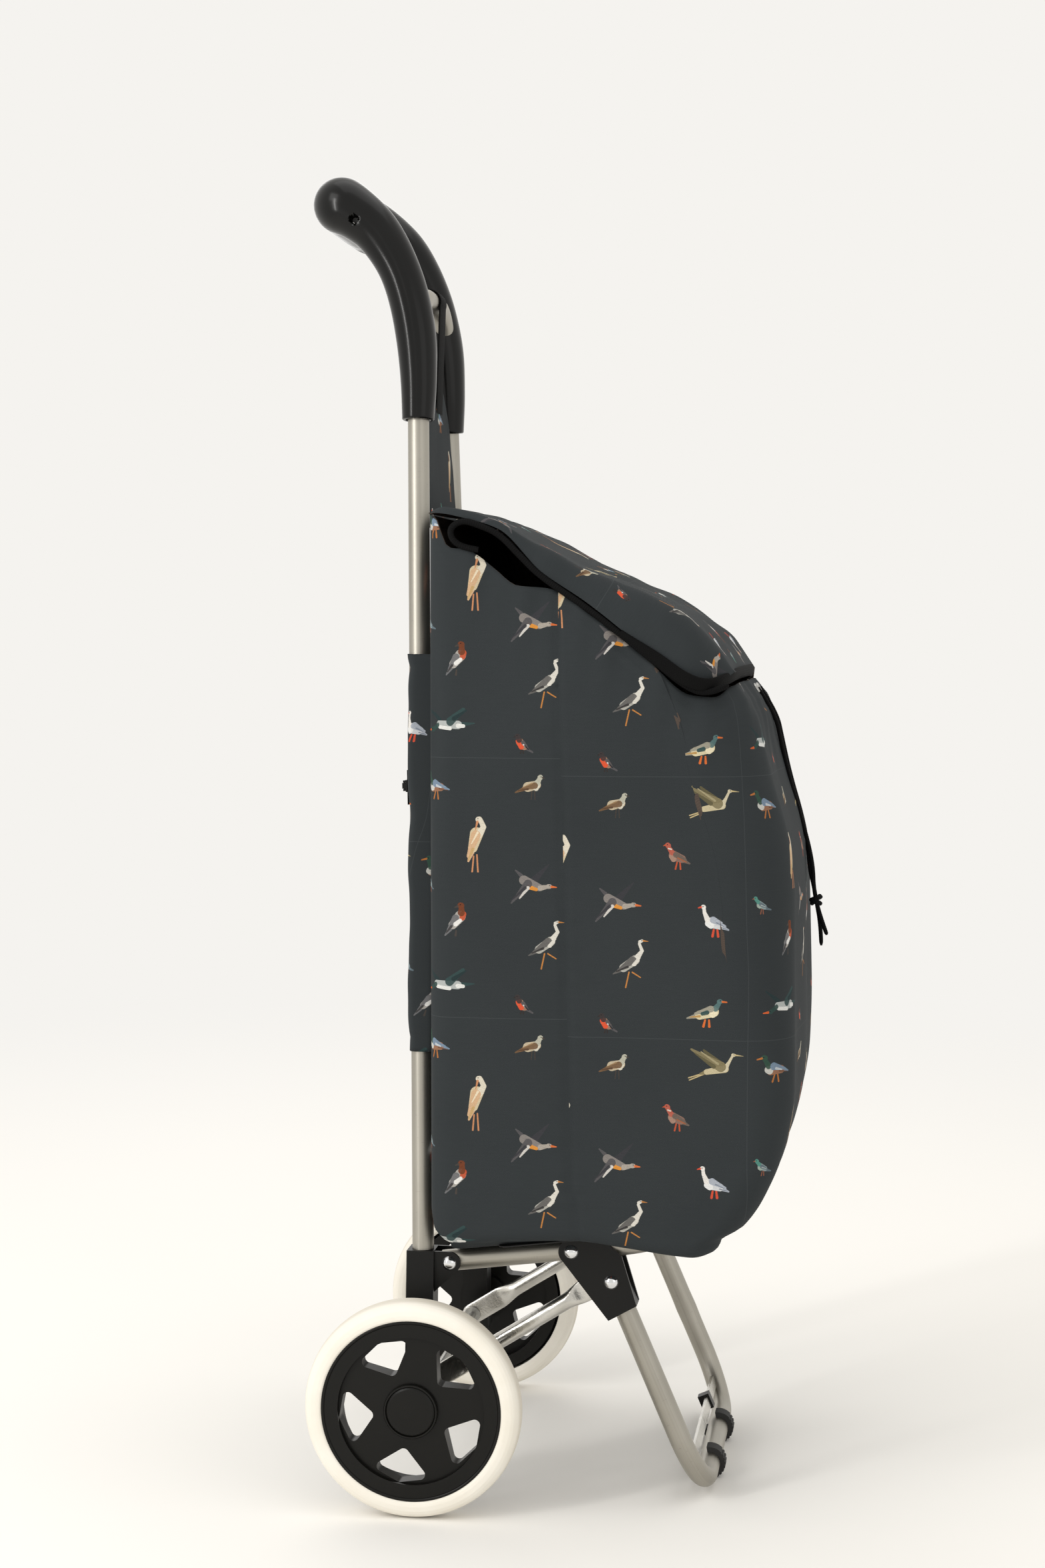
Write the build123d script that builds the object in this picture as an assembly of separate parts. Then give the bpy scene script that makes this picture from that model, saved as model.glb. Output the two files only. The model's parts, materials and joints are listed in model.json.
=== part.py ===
"""Two-wheeled folding shopping trolley: tube frame, moulded handle, folding base and fabric bag.

Every shape is drawn about the wheel axle: x forward, y to the left, z up from the floor, in millimetres.
send() then moves it so that the origin lies on the floor under the middle of the whole trolley.
"""
from build123d import *
import math
import os

os.makedirs("parts", exist_ok=True)

# ---- driving dimensions ----
WHEEL_R = 80.0
TRACK_HALF = 169.5
TYRE_HALF = 13.0
RIM_R = 63.8
RIM_INNER_R = 54.0
RIM_HALF = 11.6
AXLE_R = 3.0

TUBE_R = 8.0
TUBE_WALL = 1.2
UPRIGHT_LOW = (-2.0, 118.0, 250.0)
UPRIGHT_HIGH = (-14.5, 61.7, 870.0)
UPRIGHT_TOP = 850.0
UPRIGHT_FOOT = 112.0
HOOP_TOP = 897.0
HOOP_BEND = 40.0

RAIL_Y = 122.0
EAR_IN = 8.4
EAR_OUT = 10.8
PIVOT_A = (20.3, 178.1)
PIVOT_B = (111.0, 189.3)
PIVOT_C = (140.5, 167.8)
RAIL_LENGTH = 167.0
RAIL_START = -6.0
RAIL_BEND = 42.0
RIVET_R = 2.5
RIVET_HEAD_R = 5.25
RIVET_HEAD = 3.0

BRACKET_REAR = -11.3
BRACKET_FACE = 9.1
BRACKET_TOP = 187.0
BRACKET_FOOT = 62.0

LINK_Y = 101.5
LINK_R = 6.0
LINK_FLAT = 4.0
LINK_WIDE = 17.0
LINK_FLAT_LENGTH = 28.0
LINK_TAPER = 14.0

TOE = (207.5, 11.6)
LEG_TOP_PAST_C = 9.0
LEG_BEND = 45.0
FOOT_R = 12.2
FOOT_Y = 46.0
FOOT_WIDTH = 13.0

GRIP_REAR = -96.0
GRIP_R = 20.5
GRIP_Z = 965.0
SLEEVE_FOOT = 803.0
HANDLE_WALL = 2.6

BAG_BACK = 10.0
BAG_FRONT = 277.5
BAG_HALF = 165.0
BAG_TOP = 731.0
BAG_WALL = 2.5
BAG_GAP = 2.0
LINING_GAP = 0.4
LINING_WALL = 0.8
BOARD_THICK = 2.4
BOARD_BACK = 40.0
BOARD_FRONT = 176.0
BOARD_HALF = 148.0
HINGE = (10.0, 730.0)

POCKET_LOW = 330.0
POCKET_HIGH = 629.0
POCKET_WALL = 1.5
POCKET_CLEAR = 10.2
ZIP_Z = 527.0
ZIP_HALF = 80.0
SLIDER_Y = -64.0

CORD_R = 1.6
RIM_CORD_R = 2.1

MIDDLE_X = (GRIP_REAR + BAG_FRONT) / 2
RIGHT, LEFT = -1, 1
SIDES = {"left": LEFT, "right": RIGHT}
FULL = 500.0


# ---- helpers ----
def send(name, shape):
    """Writes one sub-part, moved so that the origin is under the middle of the trolley."""
    export_step(Pos(-MIDDLE_X, 0, 0) * shape, f"parts/{name}.step")


def group(shapes):
    """Separate solids that share one node."""
    return Compound(children=list(shapes))


def one(shape):
    """The single solid of a shape."""
    return shape.solids()[0] if len(shape.solids()) == 1 else shape


def rod(start, end, radius):
    """A round bar from one point to another."""
    path = Line(start, end)
    return Solid.extrude(Face(Wire(Plane(start, z_dir=path % 0) * Circle(radius).edge())), Vector(*end) - Vector(*start))


def across(x, z, radius, y_from, y_to):
    """A round bar along y."""
    return rod((x, y_from, z), (x, y_to, z), radius)


def plate(points, y_from, y_to, corner=0.0):
    """A plate whose outline is a list of (x, z) corners, from y_from to y_to."""
    face = make_face(Plane.XZ * Polyline(*points, close=True))
    if corner > 0:
        face = fillet(face.vertices(), corner)
    return extrude(Pos(0, y_from, 0) * face, amount=y_to - y_from, dir=(0, 1, 0))


def tube(points, radii, outer=TUBE_R, wall=TUBE_WALL):
    """A round tube along straight runs joined by arcs."""
    path = FilletPolyline(*points, radius=radii) if radii else Line(*points)
    start = Plane(path @ 0, z_dir=path % 0)
    ring = Circle(outer) - Circle(outer - wall) if wall else Circle(outer)
    return sweep(start * ring, path)


def arc_radii(points):
    """For a cord: each arc takes 0.45 of the shorter run beside its corner."""
    radii = []
    for before, here, after in zip(points, points[1:], points[2:]):
        run_in = Vector(*here) - Vector(*before)
        run_out = Vector(*after) - Vector(*here)
        turn = math.radians(run_in.get_angle(run_out))
        radii.append(0.45 * min(run_in.length, run_out.length) / math.tan(turn / 2))
    return radii


def cord(name, points, radius):
    """A cord's solid along its route, with its radii and length printed."""
    radii = arc_radii(points)
    path = FilletPolyline(*points, radius=radii)
    solid = sweep(Plane(path @ 0, z_dir=path % 0) * Circle(radius), path)
    volume = math.pi * radius**2 * path.length
    print(name, "length", round(path.length, 1), "least radius", round(min(radii), 1),
          "volume ratio", round(solid.volume / volume, 4))
    return solid


def upright_at(z, side):
    """The upright's centre at a height: it leans back and inwards on its way up."""
    share = (z - UPRIGHT_LOW[2]) / (UPRIGHT_HIGH[2] - UPRIGHT_LOW[2])
    x = UPRIGHT_LOW[0] + share * (UPRIGHT_HIGH[0] - UPRIGHT_LOW[0])
    y = UPRIGHT_LOW[1] + share * (UPRIGHT_HIGH[1] - UPRIGHT_LOW[1])
    return (x, side * y, z)


def rail_point(along, above=0.0):
    """A point (x, z) of the platform: distance along the rails from pivot A, and above their centre line."""
    length = math.dist(PIVOT_A, PIVOT_B)
    ux = (PIVOT_B[0] - PIVOT_A[0]) / length
    uz = (PIVOT_B[1] - PIVOT_A[1]) / length
    return (PIVOT_A[0] + along * ux - above * uz, PIVOT_A[1] + along * uz + above * ux)


def inset(points, amount):
    """A closed outline of (x, z) corners, listed clockwise, moved inwards."""
    moved = []
    for i, here in enumerate(points):
        before = points[i - 1]
        after = points[(i + 1) % len(points)]
        normals = []
        for a, b in ((before, here), (here, after)):
            length = math.dist(a, b)
            normals.append(((b[1] - a[1]) / length, -(b[0] - a[0]) / length))
        (n1x, n1z), (n2x, n2z) = normals
        scale = amount / (1 + n1x * n2x + n1z * n2z)
        moved.append((here[0] + scale * (n1x + n2x), here[1] + scale * (n1z + n2z)))
    return moved


# ---- frame ----
def upright(side):
    return tube([upright_at(UPRIGHT_FOOT, side), upright_at(UPRIGHT_TOP, side)], None)


def hoop():
    """The top of the frame tube: it bends over from one upright to the other."""
    low = UPRIGHT_TOP + 0.1
    points = [upright_at(low, RIGHT), upright_at(HOOP_TOP, RIGHT), upright_at(HOOP_TOP, LEFT), upright_at(low, LEFT)]
    return tube(points, HOOP_BEND)


def rear_bracket(side):
    """A moulded socket: it holds the upright, hangs on the axle and forks round the platform rail."""
    top = upright_at(BRACKET_TOP, side)[1]
    foot = upright_at(BRACKET_FOOT, side)[1]
    middle = (BRACKET_REAR + BRACKET_FACE) / 2
    deep = BRACKET_FACE - BRACKET_REAR
    wide = 2 * EAR_OUT
    column = loft([
        Pos(middle, foot, BRACKET_FOOT) * Rectangle(deep, wide),
        Pos(middle, top, BRACKET_TOP) * Rectangle(deep, wide),
    ])
    body = column
    lug = [(BRACKET_FACE - 3, BRACKET_TOP - 0.4), (PIVOT_A[0], PIVOT_A[1] + 8.3), (PIVOT_A[0] + 6.6, PIVOT_A[1] - 5),
           (BRACKET_FACE - 3, 153.5)]
    for sign in (-1, 1):
        y_in = side * RAIL_Y + sign * EAR_IN
        y_out = side * RAIL_Y + sign * EAR_OUT
        body += plate(lug, y_in, y_out)
        body += across(*PIVOT_A, 8.3, y_in, y_out)
    body -= rod(upright_at(UPRIGHT_FOOT, side), upright_at(BRACKET_TOP + 20, side), TUBE_R + 0.05)
    y_mid = side * RAIL_Y
    body -= across(0, WHEEL_R, AXLE_R + 0.03, y_mid - side * 30, y_mid + side * 40)
    body -= across(*PIVOT_A, RIVET_R + 0.02, y_mid - 20, y_mid + 20)
    return one(body)


def domed_rivet(x, z, side, tail):
    """A rivet through both ears: a domed head outside, a low tail inside."""
    y_out = side * (RAIL_Y + EAR_OUT + 0.02)
    y_in = side * (RAIL_Y - EAR_OUT - 0.02)
    shank = across(x, z, RIVET_R, y_in, y_out)
    dome_r = (RIVET_HEAD_R**2 + RIVET_HEAD**2) / (2 * RIVET_HEAD)
    head_mid = y_out - side * (dome_r - RIVET_HEAD)
    dome = Pos(x, head_mid, z) * Sphere(dome_r)
    keep_y = y_out + side * 25
    dome = dome & (Pos(x, keep_y, z) * Box(30, 50, 30))
    solid = shank + dome
    if tail:
        solid += across(x, z, 4.2, y_in - side * 1.4, y_in)
    return one(solid)


def axle():
    return across(0, WHEEL_R, AXLE_R, -(TRACK_HALF + 9.4), TRACK_HALF + 9.4)


def axle_ring(y_from, y_to, radius):
    return across(0, WHEEL_R, radius, y_from, y_to) - across(0, WHEEL_R, AXLE_R, y_from, y_to)


def axle_clips():
    """Push-on clips that keep the wheels and the links in their places on the axle."""
    places = [LINK_Y - LINK_FLAT / 2 - 2.0, LINK_Y + LINK_FLAT / 2 + 0.4, TRACK_HALF - 16.2]
    return group(axle_ring(side * y, side * (y + 1.6), 6.5) for side in SIDES.values() for y in places)


def axle_nuts():
    """Hexagon cap nuts on the axle ends, under the hub caps."""
    nuts = []
    for side in SIDES.values():
        y = side * (TRACK_HALF + 5.4)
        hexagon = Plane((0, y, WHEEL_R), z_dir=(0, side, 0)) * (RegularPolygon(6.0, 6) - Circle(AXLE_R))
        nuts.append(extrude(hexagon, amount=3.8))
    return group(nuts)


# ---- wheels ----
def wheel_ring(profile, side):
    """A ring turned about the axle from (radius, offset outwards) corners."""
    y_mid = side * TRACK_HALF
    face = make_face(Polyline(*[(0, y_mid + side * out, WHEEL_R + r) for r, out in profile], close=True))
    return revolve(face, Axis((0, 0, WHEEL_R), (0, 1, 0)))


def tyre(side):
    """A solid foam tyre with rounded shoulders, seated on the rim."""
    seat = RIM_R + 0.02
    profile = [(seat, -11.8), (68, -12.9), (73.5, -12.4), (77.6, -9.4), (79.5, -5), (WHEEL_R, 0), (79.5, 5),
               (77.6, 9.4), (73.5, 12.4), (68, 12.9), (seat, 11.8)]
    return wheel_ring(profile, side)


def hub(side):
    """A moulded hub: rim ring, a web with five rounded windows that leave broad spokes, and a barrel."""
    y_mid = side * TRACK_HALF
    rim = wheel_ring([(RIM_INNER_R, -RIM_HALF), (RIM_R, -RIM_HALF), (RIM_R, RIM_HALF), (RIM_INNER_R, RIM_HALF)], side)
    web = wheel_ring([(15, -7), (RIM_INNER_R + 1, -4), (RIM_INNER_R + 1, 8.2), (15, 9.6)], side)
    barrel = wheel_ring([(8.02, -14), (20, -14), (20, 11.6), (8.02, 11.6)], side)
    body = rim + web + barrel
    for turn in range(5):
        middle = math.radians(80 + 36 + 72 * turn)
        corners = [(27.0, 0.0), (RIM_INNER_R - 2.4, 25.0), (RIM_INNER_R, 0.0), (RIM_INNER_R - 2.4, -25.0)]
        points = []
        for radius, spread in corners:
            angle = middle + math.radians(spread)
            points.append((radius * math.cos(angle), WHEEL_R + radius * math.sin(angle)))
        face = make_face(Plane.XZ * Polyline(*points, close=True))
        face = fillet(face.vertices(), 4.0)
        body -= extrude(Pos(0, y_mid - 20, 0) * face, amount=40, dir=(0, 1, 0))
    body -= across(0, WHEEL_R, 17.9, y_mid + side * 5.0, y_mid + side * 20)
    return one(body)


def hub_cap(side):
    profile = [(0, 9.8), (17.8, 9.8), (17.8, 12.2), (16.4, 13.2), (0, 13.8)]
    return wheel_ring(profile, side)


def wheel_bush(side):
    return wheel_ring([(AXLE_R + 0.05, -13.8), (8.0, -13.8), (8.0, 4.9), (AXLE_R + 0.05, 4.9)], side)


# ---- folding platform ----
def platform_tube():
    """The U of tube under the bag: it starts at the pivots A and crosses at the front."""
    back = rail_point(RAIL_START)
    front = rail_point(RAIL_LENGTH)
    points = [(back[0], -RAIL_Y, back[1]), (front[0], -RAIL_Y, front[1]), (front[0], RAIL_Y, front[1]),
              (back[0], RAIL_Y, back[1])]
    body = tube(points, RAIL_BEND)
    for x, z in (PIVOT_A, PIVOT_B):
        for side in SIDES.values():
            body -= across(x, z, RIVET_R + 0.05, side * (RAIL_Y - 12), side * (RAIL_Y + 12))
    return one(body)


def base_board():
    """The stiff board in the bottom of the bag."""
    low = TUBE_R + BAG_GAP + BAG_WALL + LINING_GAP + LINING_WALL + 0.5
    corners = [rail_point(BOARD_BACK, low), rail_point(BOARD_FRONT, low), rail_point(BOARD_FRONT, low + BOARD_THICK),
               rail_point(BOARD_BACK, low + BOARD_THICK)]
    return plate(corners, -BOARD_HALF, BOARD_HALF)


# ---- stand ----
LEG_SLOPE = math.dist(PIVOT_C, TOE)
LEG_DIR = ((TOE[0] - PIVOT_C[0]) / LEG_SLOPE, (TOE[1] - PIVOT_C[1]) / LEG_SLOPE)


def leg_point(along, aside=0.0):
    """A point (x, z) of the stand leg: distance down from pivot C, and forward of its centre line."""
    return (PIVOT_C[0] + along * LEG_DIR[0] - aside * LEG_DIR[1], PIVOT_C[1] + along * LEG_DIR[1] + aside * LEG_DIR[0])


def front_bracket(side):
    """A moulded bracket: two ears round the rail at pivot B, and a socket for the stand leg."""
    y_mid = side * RAIL_Y
    ear = [(PIVOT_B[0] - 8.2, PIVOT_B[1] - 4.6), (PIVOT_B[0] + 2.5, PIVOT_B[1] + 9.0), (139.3, 195.4), (148.3, 187.3),
           leg_point(23, 10.6), leg_point(25.5, -13.0)]
    body = plate([leg_point(-12, -10.3), leg_point(-12, 10.3), leg_point(23.4, 10.3), leg_point(25, -10.3)],
                 y_mid - EAR_IN - 0.5, y_mid + EAR_IN + 0.5)
    for sign in (-1, 1):
        body += plate(ear, y_mid + sign * EAR_IN, y_mid + sign * EAR_OUT)
        body += across(*PIVOT_B, 9.4, y_mid + sign * EAR_IN, y_mid + sign * EAR_OUT)
    top = leg_point(-LEG_TOP_PAST_C)
    end = leg_point(60)
    body -= rod((top[0], y_mid, top[1]), (end[0], y_mid, end[1]), TUBE_R + 0.05)
    for x, z in (PIVOT_B, PIVOT_C):
        body -= across(x, z, RIVET_R + 0.02, y_mid - 20, y_mid + 20)
    return one(body)


def stand_leg():
    """The U of tube that the trolley stands on."""
    top = leg_point(-LEG_TOP_PAST_C + 0.3)
    points = [(top[0], -RAIL_Y, top[1]), (TOE[0], -RAIL_Y, TOE[1]), (TOE[0], RAIL_Y, TOE[1]), (top[0], RAIL_Y, top[1])]
    body = tube(points, LEG_BEND)
    for side in SIDES.values():
        body -= across(*PIVOT_C, RIVET_R + 0.02, side * (RAIL_Y - 12), side * (RAIL_Y + 12))
    return one(body)


def stand_strip():
    """A flat strip that ties the two legs just above the bend."""
    up = LEG_SLOPE - 21
    corners = [leg_point(up - 4, -1.2), leg_point(up - 4, 1.2), leg_point(up + 4, 1.2), leg_point(up + 4, -1.2)]
    return plate(corners, -105.5, 105.5)


def strip_clip():
    """A small moulded clip pushed over the strip."""
    up = LEG_SLOPE - 21
    corners = [leg_point(up - 6, -6.5), leg_point(up - 6, 2.6), leg_point(up + 6, 2.6), leg_point(up + 6, -6.5)]
    slot = [leg_point(up - 4.1, -1.3), leg_point(up - 4.1, 1.3), leg_point(up + 4.1, 1.3), leg_point(up + 4.1, -1.3)]
    return plate(corners, 44, 54) - plate(slot, 43, 55)


def foot(side):
    """A rubber saddle on the cross tube, open behind, with a ribbed tread round its underside."""
    y_from = side * FOOT_Y - FOOT_WIDTH / 2
    y_to = side * FOOT_Y + FOOT_WIDTH / 2
    body = across(*TOE, FOOT_R, y_from, y_to) - across(*TOE, TUBE_R + 0.02, y_from, y_to)
    mouth = [TOE, (TOE[0] - 30, TOE[1] - 4), (TOE[0] - 30, TOE[1] + 30), (TOE[0] - 6, TOE[1] + 30)]
    body -= plate(mouth, y_from - 1, y_to + 1)
    body -= Pos(TOE[0], side * FOOT_Y, -10) * Box(60, 2 * FOOT_WIDTH, 20)
    for step in range(8):
        angle = math.radians(-66 + 15 * step)
        groove = (TOE[0] + FOOT_R * math.cos(angle), TOE[1] + FOOT_R * math.sin(angle))
        body -= across(*groove, 0.8, y_from - 1, y_to + 1)
    return one(body)


# ---- links ----
def link(side):
    """A tube with both ends pressed flat: one eye turns on the axle, the other meets pivot C."""
    length = math.dist((0, WHEEL_R), PIVOT_C)
    flat = LINK_FLAT_LENGTH
    taper = LINK_TAPER

    def flat_at(x):
        return Plane((x, 0, 0), x_dir=(0, 1, 0), z_dir=(1, 0, 0)) * RectangleRounded(LINK_FLAT, LINK_WIDE, 1.9)

    def round_at(x):
        return Plane((x, 0, 0), x_dir=(0, 1, 0), z_dir=(1, 0, 0)) * Circle(LINK_R)

    body = extrude(round_at(flat + taper), amount=length - 2 * (flat + taper))
    for start, stop in ((flat, flat + taper), (length - flat, length - flat - taper)):
        body += loft([flat_at(start), round_at(stop)])
    for x_eye, x_in in ((0, flat), (length, length - flat)):
        eye = Plane.XZ * (Pos((x_eye + x_in) / 2, 0) * Rectangle(flat, LINK_WIDE) + Pos(x_eye, 0) * Circle(LINK_WIDE / 2))
        body += extrude(Pos(0, -LINK_FLAT / 2, 0) * eye, amount=LINK_FLAT, dir=(0, 1, 0))
    body -= across(0, 0, AXLE_R + 0.05, -10, 10)
    body -= across(length, 0, RIVET_R + 0.02, -10, 10)
    angle = math.degrees(math.atan2(PIVOT_C[1] - WHEEL_R, PIVOT_C[0]))
    return one(Pos(0, side * LINK_Y, WHEEL_R) * Rot(0, -angle, 0) * body)


def link_pin(side):
    """The link's half of pivot C: a headed stub that stops just short of the front bracket."""
    inner = side * (LINK_Y - LINK_FLAT / 2 - 0.02)
    stub = across(*PIVOT_C, RIVET_R, inner, side * (RAIL_Y - EAR_OUT - 2.0))
    head = across(*PIVOT_C, 4.6, inner - side * 2.0, inner)
    return one(stub + head)


# ---- handle ----
ARM = [  # centre x, distance from the middle, z, radius
    (-13.4, 67.8, SLEEVE_FOOT, 12.1),
    (-13.2, 65.0, 834.0, 13.8),
    (-16.0, 62.4, 872.0, 15.4),
    (-26.0, 61.0, 912.0, 15.6),
    (-43.5, 60.0, 942.5, 17.4),
    (-61.0, 59.5, 957.5, 19.2),
]
GRIP_X = GRIP_REAR + GRIP_R
GRIP_END = 58.0


def arm_planes(side):
    """Section planes square to the arm's centre line, one at each station."""
    centres = [Vector(x, side * y, z) for x, y, z, _ in ARM]
    spine = Spline(*centres)
    planes = []
    for centre, station in zip(centres, ARM):
        share = spine.param_at_point(centre)
        planes.append((Plane(centre, x_dir=(0, 1, 0), z_dir=spine % share), station[3]))
    return planes


def handle_form(thinner):
    """The handle's outer form, or its hollow when made thinner: two arms and a cross grip."""
    radius = GRIP_R - thinner
    form = across(GRIP_X, GRIP_Z, radius, -GRIP_END, GRIP_END)
    for side in SIDES.values():
        sections = [plane * Circle(r - thinner) for plane, r in arm_planes(side)]
        form += loft(sections)
        form += Pos(GRIP_X, side * GRIP_END, GRIP_Z) * Sphere(radius)
        last = arm_planes(side)[-1][0]
        neck = loft([
            last * Circle(ARM[-1][3] - thinner),
            Plane((GRIP_X + 4, side * GRIP_END, GRIP_Z - 1), x_dir=(0, 1, 0), z_dir=last.z_dir) * Circle(radius - 0.4),
        ])
        form += neck
    return form


def handle_halves():
    """The moulded handle, split along its arms into a front and a rear shell."""
    hollow = handle_form(HANDLE_WALL)
    hollow -= Pos(0, 0, SLEEVE_FOOT) * Box(FULL, FULL, 24)
    shell = handle_form(0.0) - hollow
    for side in SIDES.values():
        shell -= rod(upright_at(SLEEVE_FOOT - 30, side), upright_at(UPRIGHT_TOP, side), TUBE_R + 0.05)
    low = UPRIGHT_TOP - 1
    bend = [upright_at(low, RIGHT), upright_at(HOOP_TOP, RIGHT), upright_at(HOOP_TOP, LEFT), upright_at(low, LEFT)]
    shell -= tube(bend, HOOP_BEND, TUBE_R + 0.05, 0)
    for side in SIDES.values():
        shell -= screw_shape(side, 0.02, 6.0)
    centre = [(x, z) for x, _, z, _ in ARM]
    knife = [(centre[0][0], SLEEVE_FOOT - 20), *centre, (GRIP_X, GRIP_Z), (GRIP_X - 60, GRIP_Z - 8), (GRIP_X - 60, 1100),
             (200, 1100), (200, SLEEVE_FOOT - 20)]
    front = plate(knife, -120, 120)
    return shell & front, shell - front


def screw_shape(side, wider, longer):
    """A screw across the arm, sunk below its outer face."""
    x, z = -59.0, 951.5
    y_out = side * 72.0
    solid = across(x, z, 1.8 + wider, side * 44.0, y_out)
    solid += across(x, z, 3.6 + wider, y_out - side * 2.4, y_out + side * longer)
    return solid


def handle_screws():
    return group(one(screw_shape(side, 0.0, 0.0)) for side in SIDES.values())


# ---- bag ----
BAG_OUTLINE = [  # closed side outline, clockwise: back, top, front, bottom
    (BAG_BACK, 216.0), (BAG_BACK, 722.0), (13.5, 729.0), (22.0, BAG_TOP), (40.0, 728.5), (60.0, 721.0), (87.0, 706.5),
    (122.0, 688.5), (150.0, 677.0), (178.0, 664.0), (204.0, 646.0), (227.0, 617.0), (250.0, 580.0), (254.5, 560.0),
    (260.5, 533.0), (270.0, 500.0), (274.5, 478.0), (BAG_FRONT, 440.0), (277.0, 360.0), (274.5, 306.0), (266.5, 262.0),
    (251.0, 228.0), (235.0, 203.5),
    (222.0, 194.0), (209.0, 194.0), (202.0, 200.0), rail_point(179.0, TUBE_R + BAG_GAP),
    rail_point(23.0, TUBE_R + BAG_GAP), (24.0, 194.5), (13.0, 203.5),
]
FLAP_EDGE = [(0, HINGE[1]), (32, HINGE[1] - 2.0), (62, 718.5), (93, 686.5), (127, 663.5), (172, 627.5), (199, 605.5),
             (214, 603.0), (233, 614.5), (300, 614.5)]
BAG_EDGE = [(0, HINGE[1] - 1.2), (15, HINGE[1] - 2.5), (23, 706.0), (46, 697.5), (60, 688.0), (76, 675.5), (98, 674.5),
            (127, 656.5), (172, 621.0), (199, 599.0), (214, 596.5), (234, 607.5), (300, 607.5)]
BAND_TOP = [(300, 626.0), (230, 626.0), (213, 613.0), (192, 613.0)]
CORD_EDGE = [(48, 702.0), (37, 703.5), (28.5, 709.5), (27.5, 718.0), (36.5, 723.3), (49, 719.3), (63, 713.3),
             (78, 697.5), (93, 682.5),
             (127, 660.0), (150, 642.0), (172, 624.2), (199, 602.2), (214, 599.7), (226, 606.0)]
BACK_CORNER = 18.0
FRONT_CORNER = 60.0


def bag_form(thinner):
    """The bag's full form: the side outline, trimmed by a plan outline with rounded corners."""
    body = plate(inset(BAG_OUTLINE, thinner), -(BAG_HALF - thinner), BAG_HALF - thinner)
    back = BAG_BACK + thinner
    front = BAG_FRONT - thinner
    half = BAG_HALF - thinner
    plan = make_face(Polyline((back, -half), (front, -half), (front, half), (back, half), close=True))
    plan = fillet(plan.vertices().sort_by(Axis.X)[:2], BACK_CORNER - thinner)
    column = extrude(plan, amount=900)
    front_edges = column.edges().filter_by(Axis.Z).sort_by(Axis.X)[-2:]
    return body & fillet(front_edges, FRONT_CORNER - thinner)


def above(edge):
    """Everything above a side line."""
    return plate([*edge, (300, 900), (0, 900)], -FULL, FULL)


def bag_parts():
    outer = bag_form(0.0)
    hollow = bag_form(BAG_WALL)
    skin = outer - hollow
    lining_out = BAG_WALL + LINING_GAP
    lining = bag_form(lining_out) - bag_form(lining_out + LINING_WALL)
    shell = skin - above(BAG_EDGE)
    lining = lining - above([(x, z - 6) for x, z in BAG_EDGE])
    flap = skin & above(FLAP_EDGE)
    band = (bag_form(-1.6) - bag_form(-0.15)) & plate([*FLAP_EDGE[-4:], *BAND_TOP], -FULL, FULL)
    return one(shell), one(lining), one(flap), one(band)


def tongue():
    """The fabric tongue of the back panel: it stands between the uprights, with a rounded top."""
    low = Plane((7.4, 0, HINGE[1] - 1), x_dir=(0, 1, 0), z_dir=(1, 0, 0.075))
    half = [(98, 0), (66, 24), (52, 58), (46, 84), (32, 101), (12, 108)]
    outline = [*half, *[(-y, z) for y, z in reversed(half)]]
    return extrude(low * make_face(Polyline(*outline, close=True)), amount=2.0)


def hanger_loop():
    """A webbing loop over the hoop, sewn to the tongue."""
    hoop_x = upright_at(HOOP_TOP, RIGHT)[0]

    def drop(round_hoop, at_foot):
        upper = Pos(hoop_x, HOOP_TOP) * Circle(round_hoop)
        lower = Pos(0.6, 829.0) * Circle(at_foot)
        return make_hull((upper + lower).edges())

    ring = Plane.XZ * (drop(TUBE_R + 2.0, 3.0) - drop(TUBE_R + 0.6, 1.6))
    return extrude(Pos(0, -12.5, 0) * ring, amount=25, dir=(0, 1, 0))


def rear_pocket():
    """The flat pocket behind the bag: a sleeve that slides down over both uprights."""
    def block(clear, low, high):
        sections = []
        for z in (low, high):
            x, y, _ = upright_at(z, LEFT)
            rear = x - clear
            front = BAG_BACK - 1.0 - (POCKET_CLEAR - clear)
            wide = 2 * (y + clear)
            sections.append(Pos((rear + front) / 2, 0, z) * RectangleRounded(front - rear, wide, clear - 3))
        return loft(sections)

    return one(block(POCKET_CLEAR, POCKET_LOW, POCKET_HIGH)
               - block(POCKET_CLEAR - POCKET_WALL, POCKET_LOW - 1, POCKET_HIGH + 1))


def pocket_face(z):
    """The outside of the pocket's back panel at a height."""
    return upright_at(z, LEFT)[0] - POCKET_CLEAR


LEAN = math.degrees(math.atan2(UPRIGHT_LOW[0] - UPRIGHT_HIGH[0], UPRIGHT_HIGH[2] - UPRIGHT_LOW[2]))


def on_pocket(behind, y, shape):
    """Sets a shape on the pocket's back panel at the zip, so far behind it."""
    return Pos(pocket_face(ZIP_Z) - behind, y, ZIP_Z) * Rot(0, -LEAN, 0) * shape


def zip_tape():
    """The zip: a woven tape with a raised row of teeth."""
    tape = Box(1.0, 2 * ZIP_HALF + 12, 26)
    teeth = Pos(-1.1, 0, 0) * Box(1.2, 2 * ZIP_HALF, 5.0)
    return on_pocket(0.7, 0, tape + teeth)


def zip_slider():
    """The slider, with a bridge for its puller."""
    body = Box(2.6, 11, 9) + Pos(-2.6, 0, 0) * Box(4.0, 3.4, 4.4)
    body -= Pos(-3.2, 0, 0) * Cylinder(0.85, 20)
    return on_pocket(4.3, SLIDER_Y, one(body))


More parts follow.
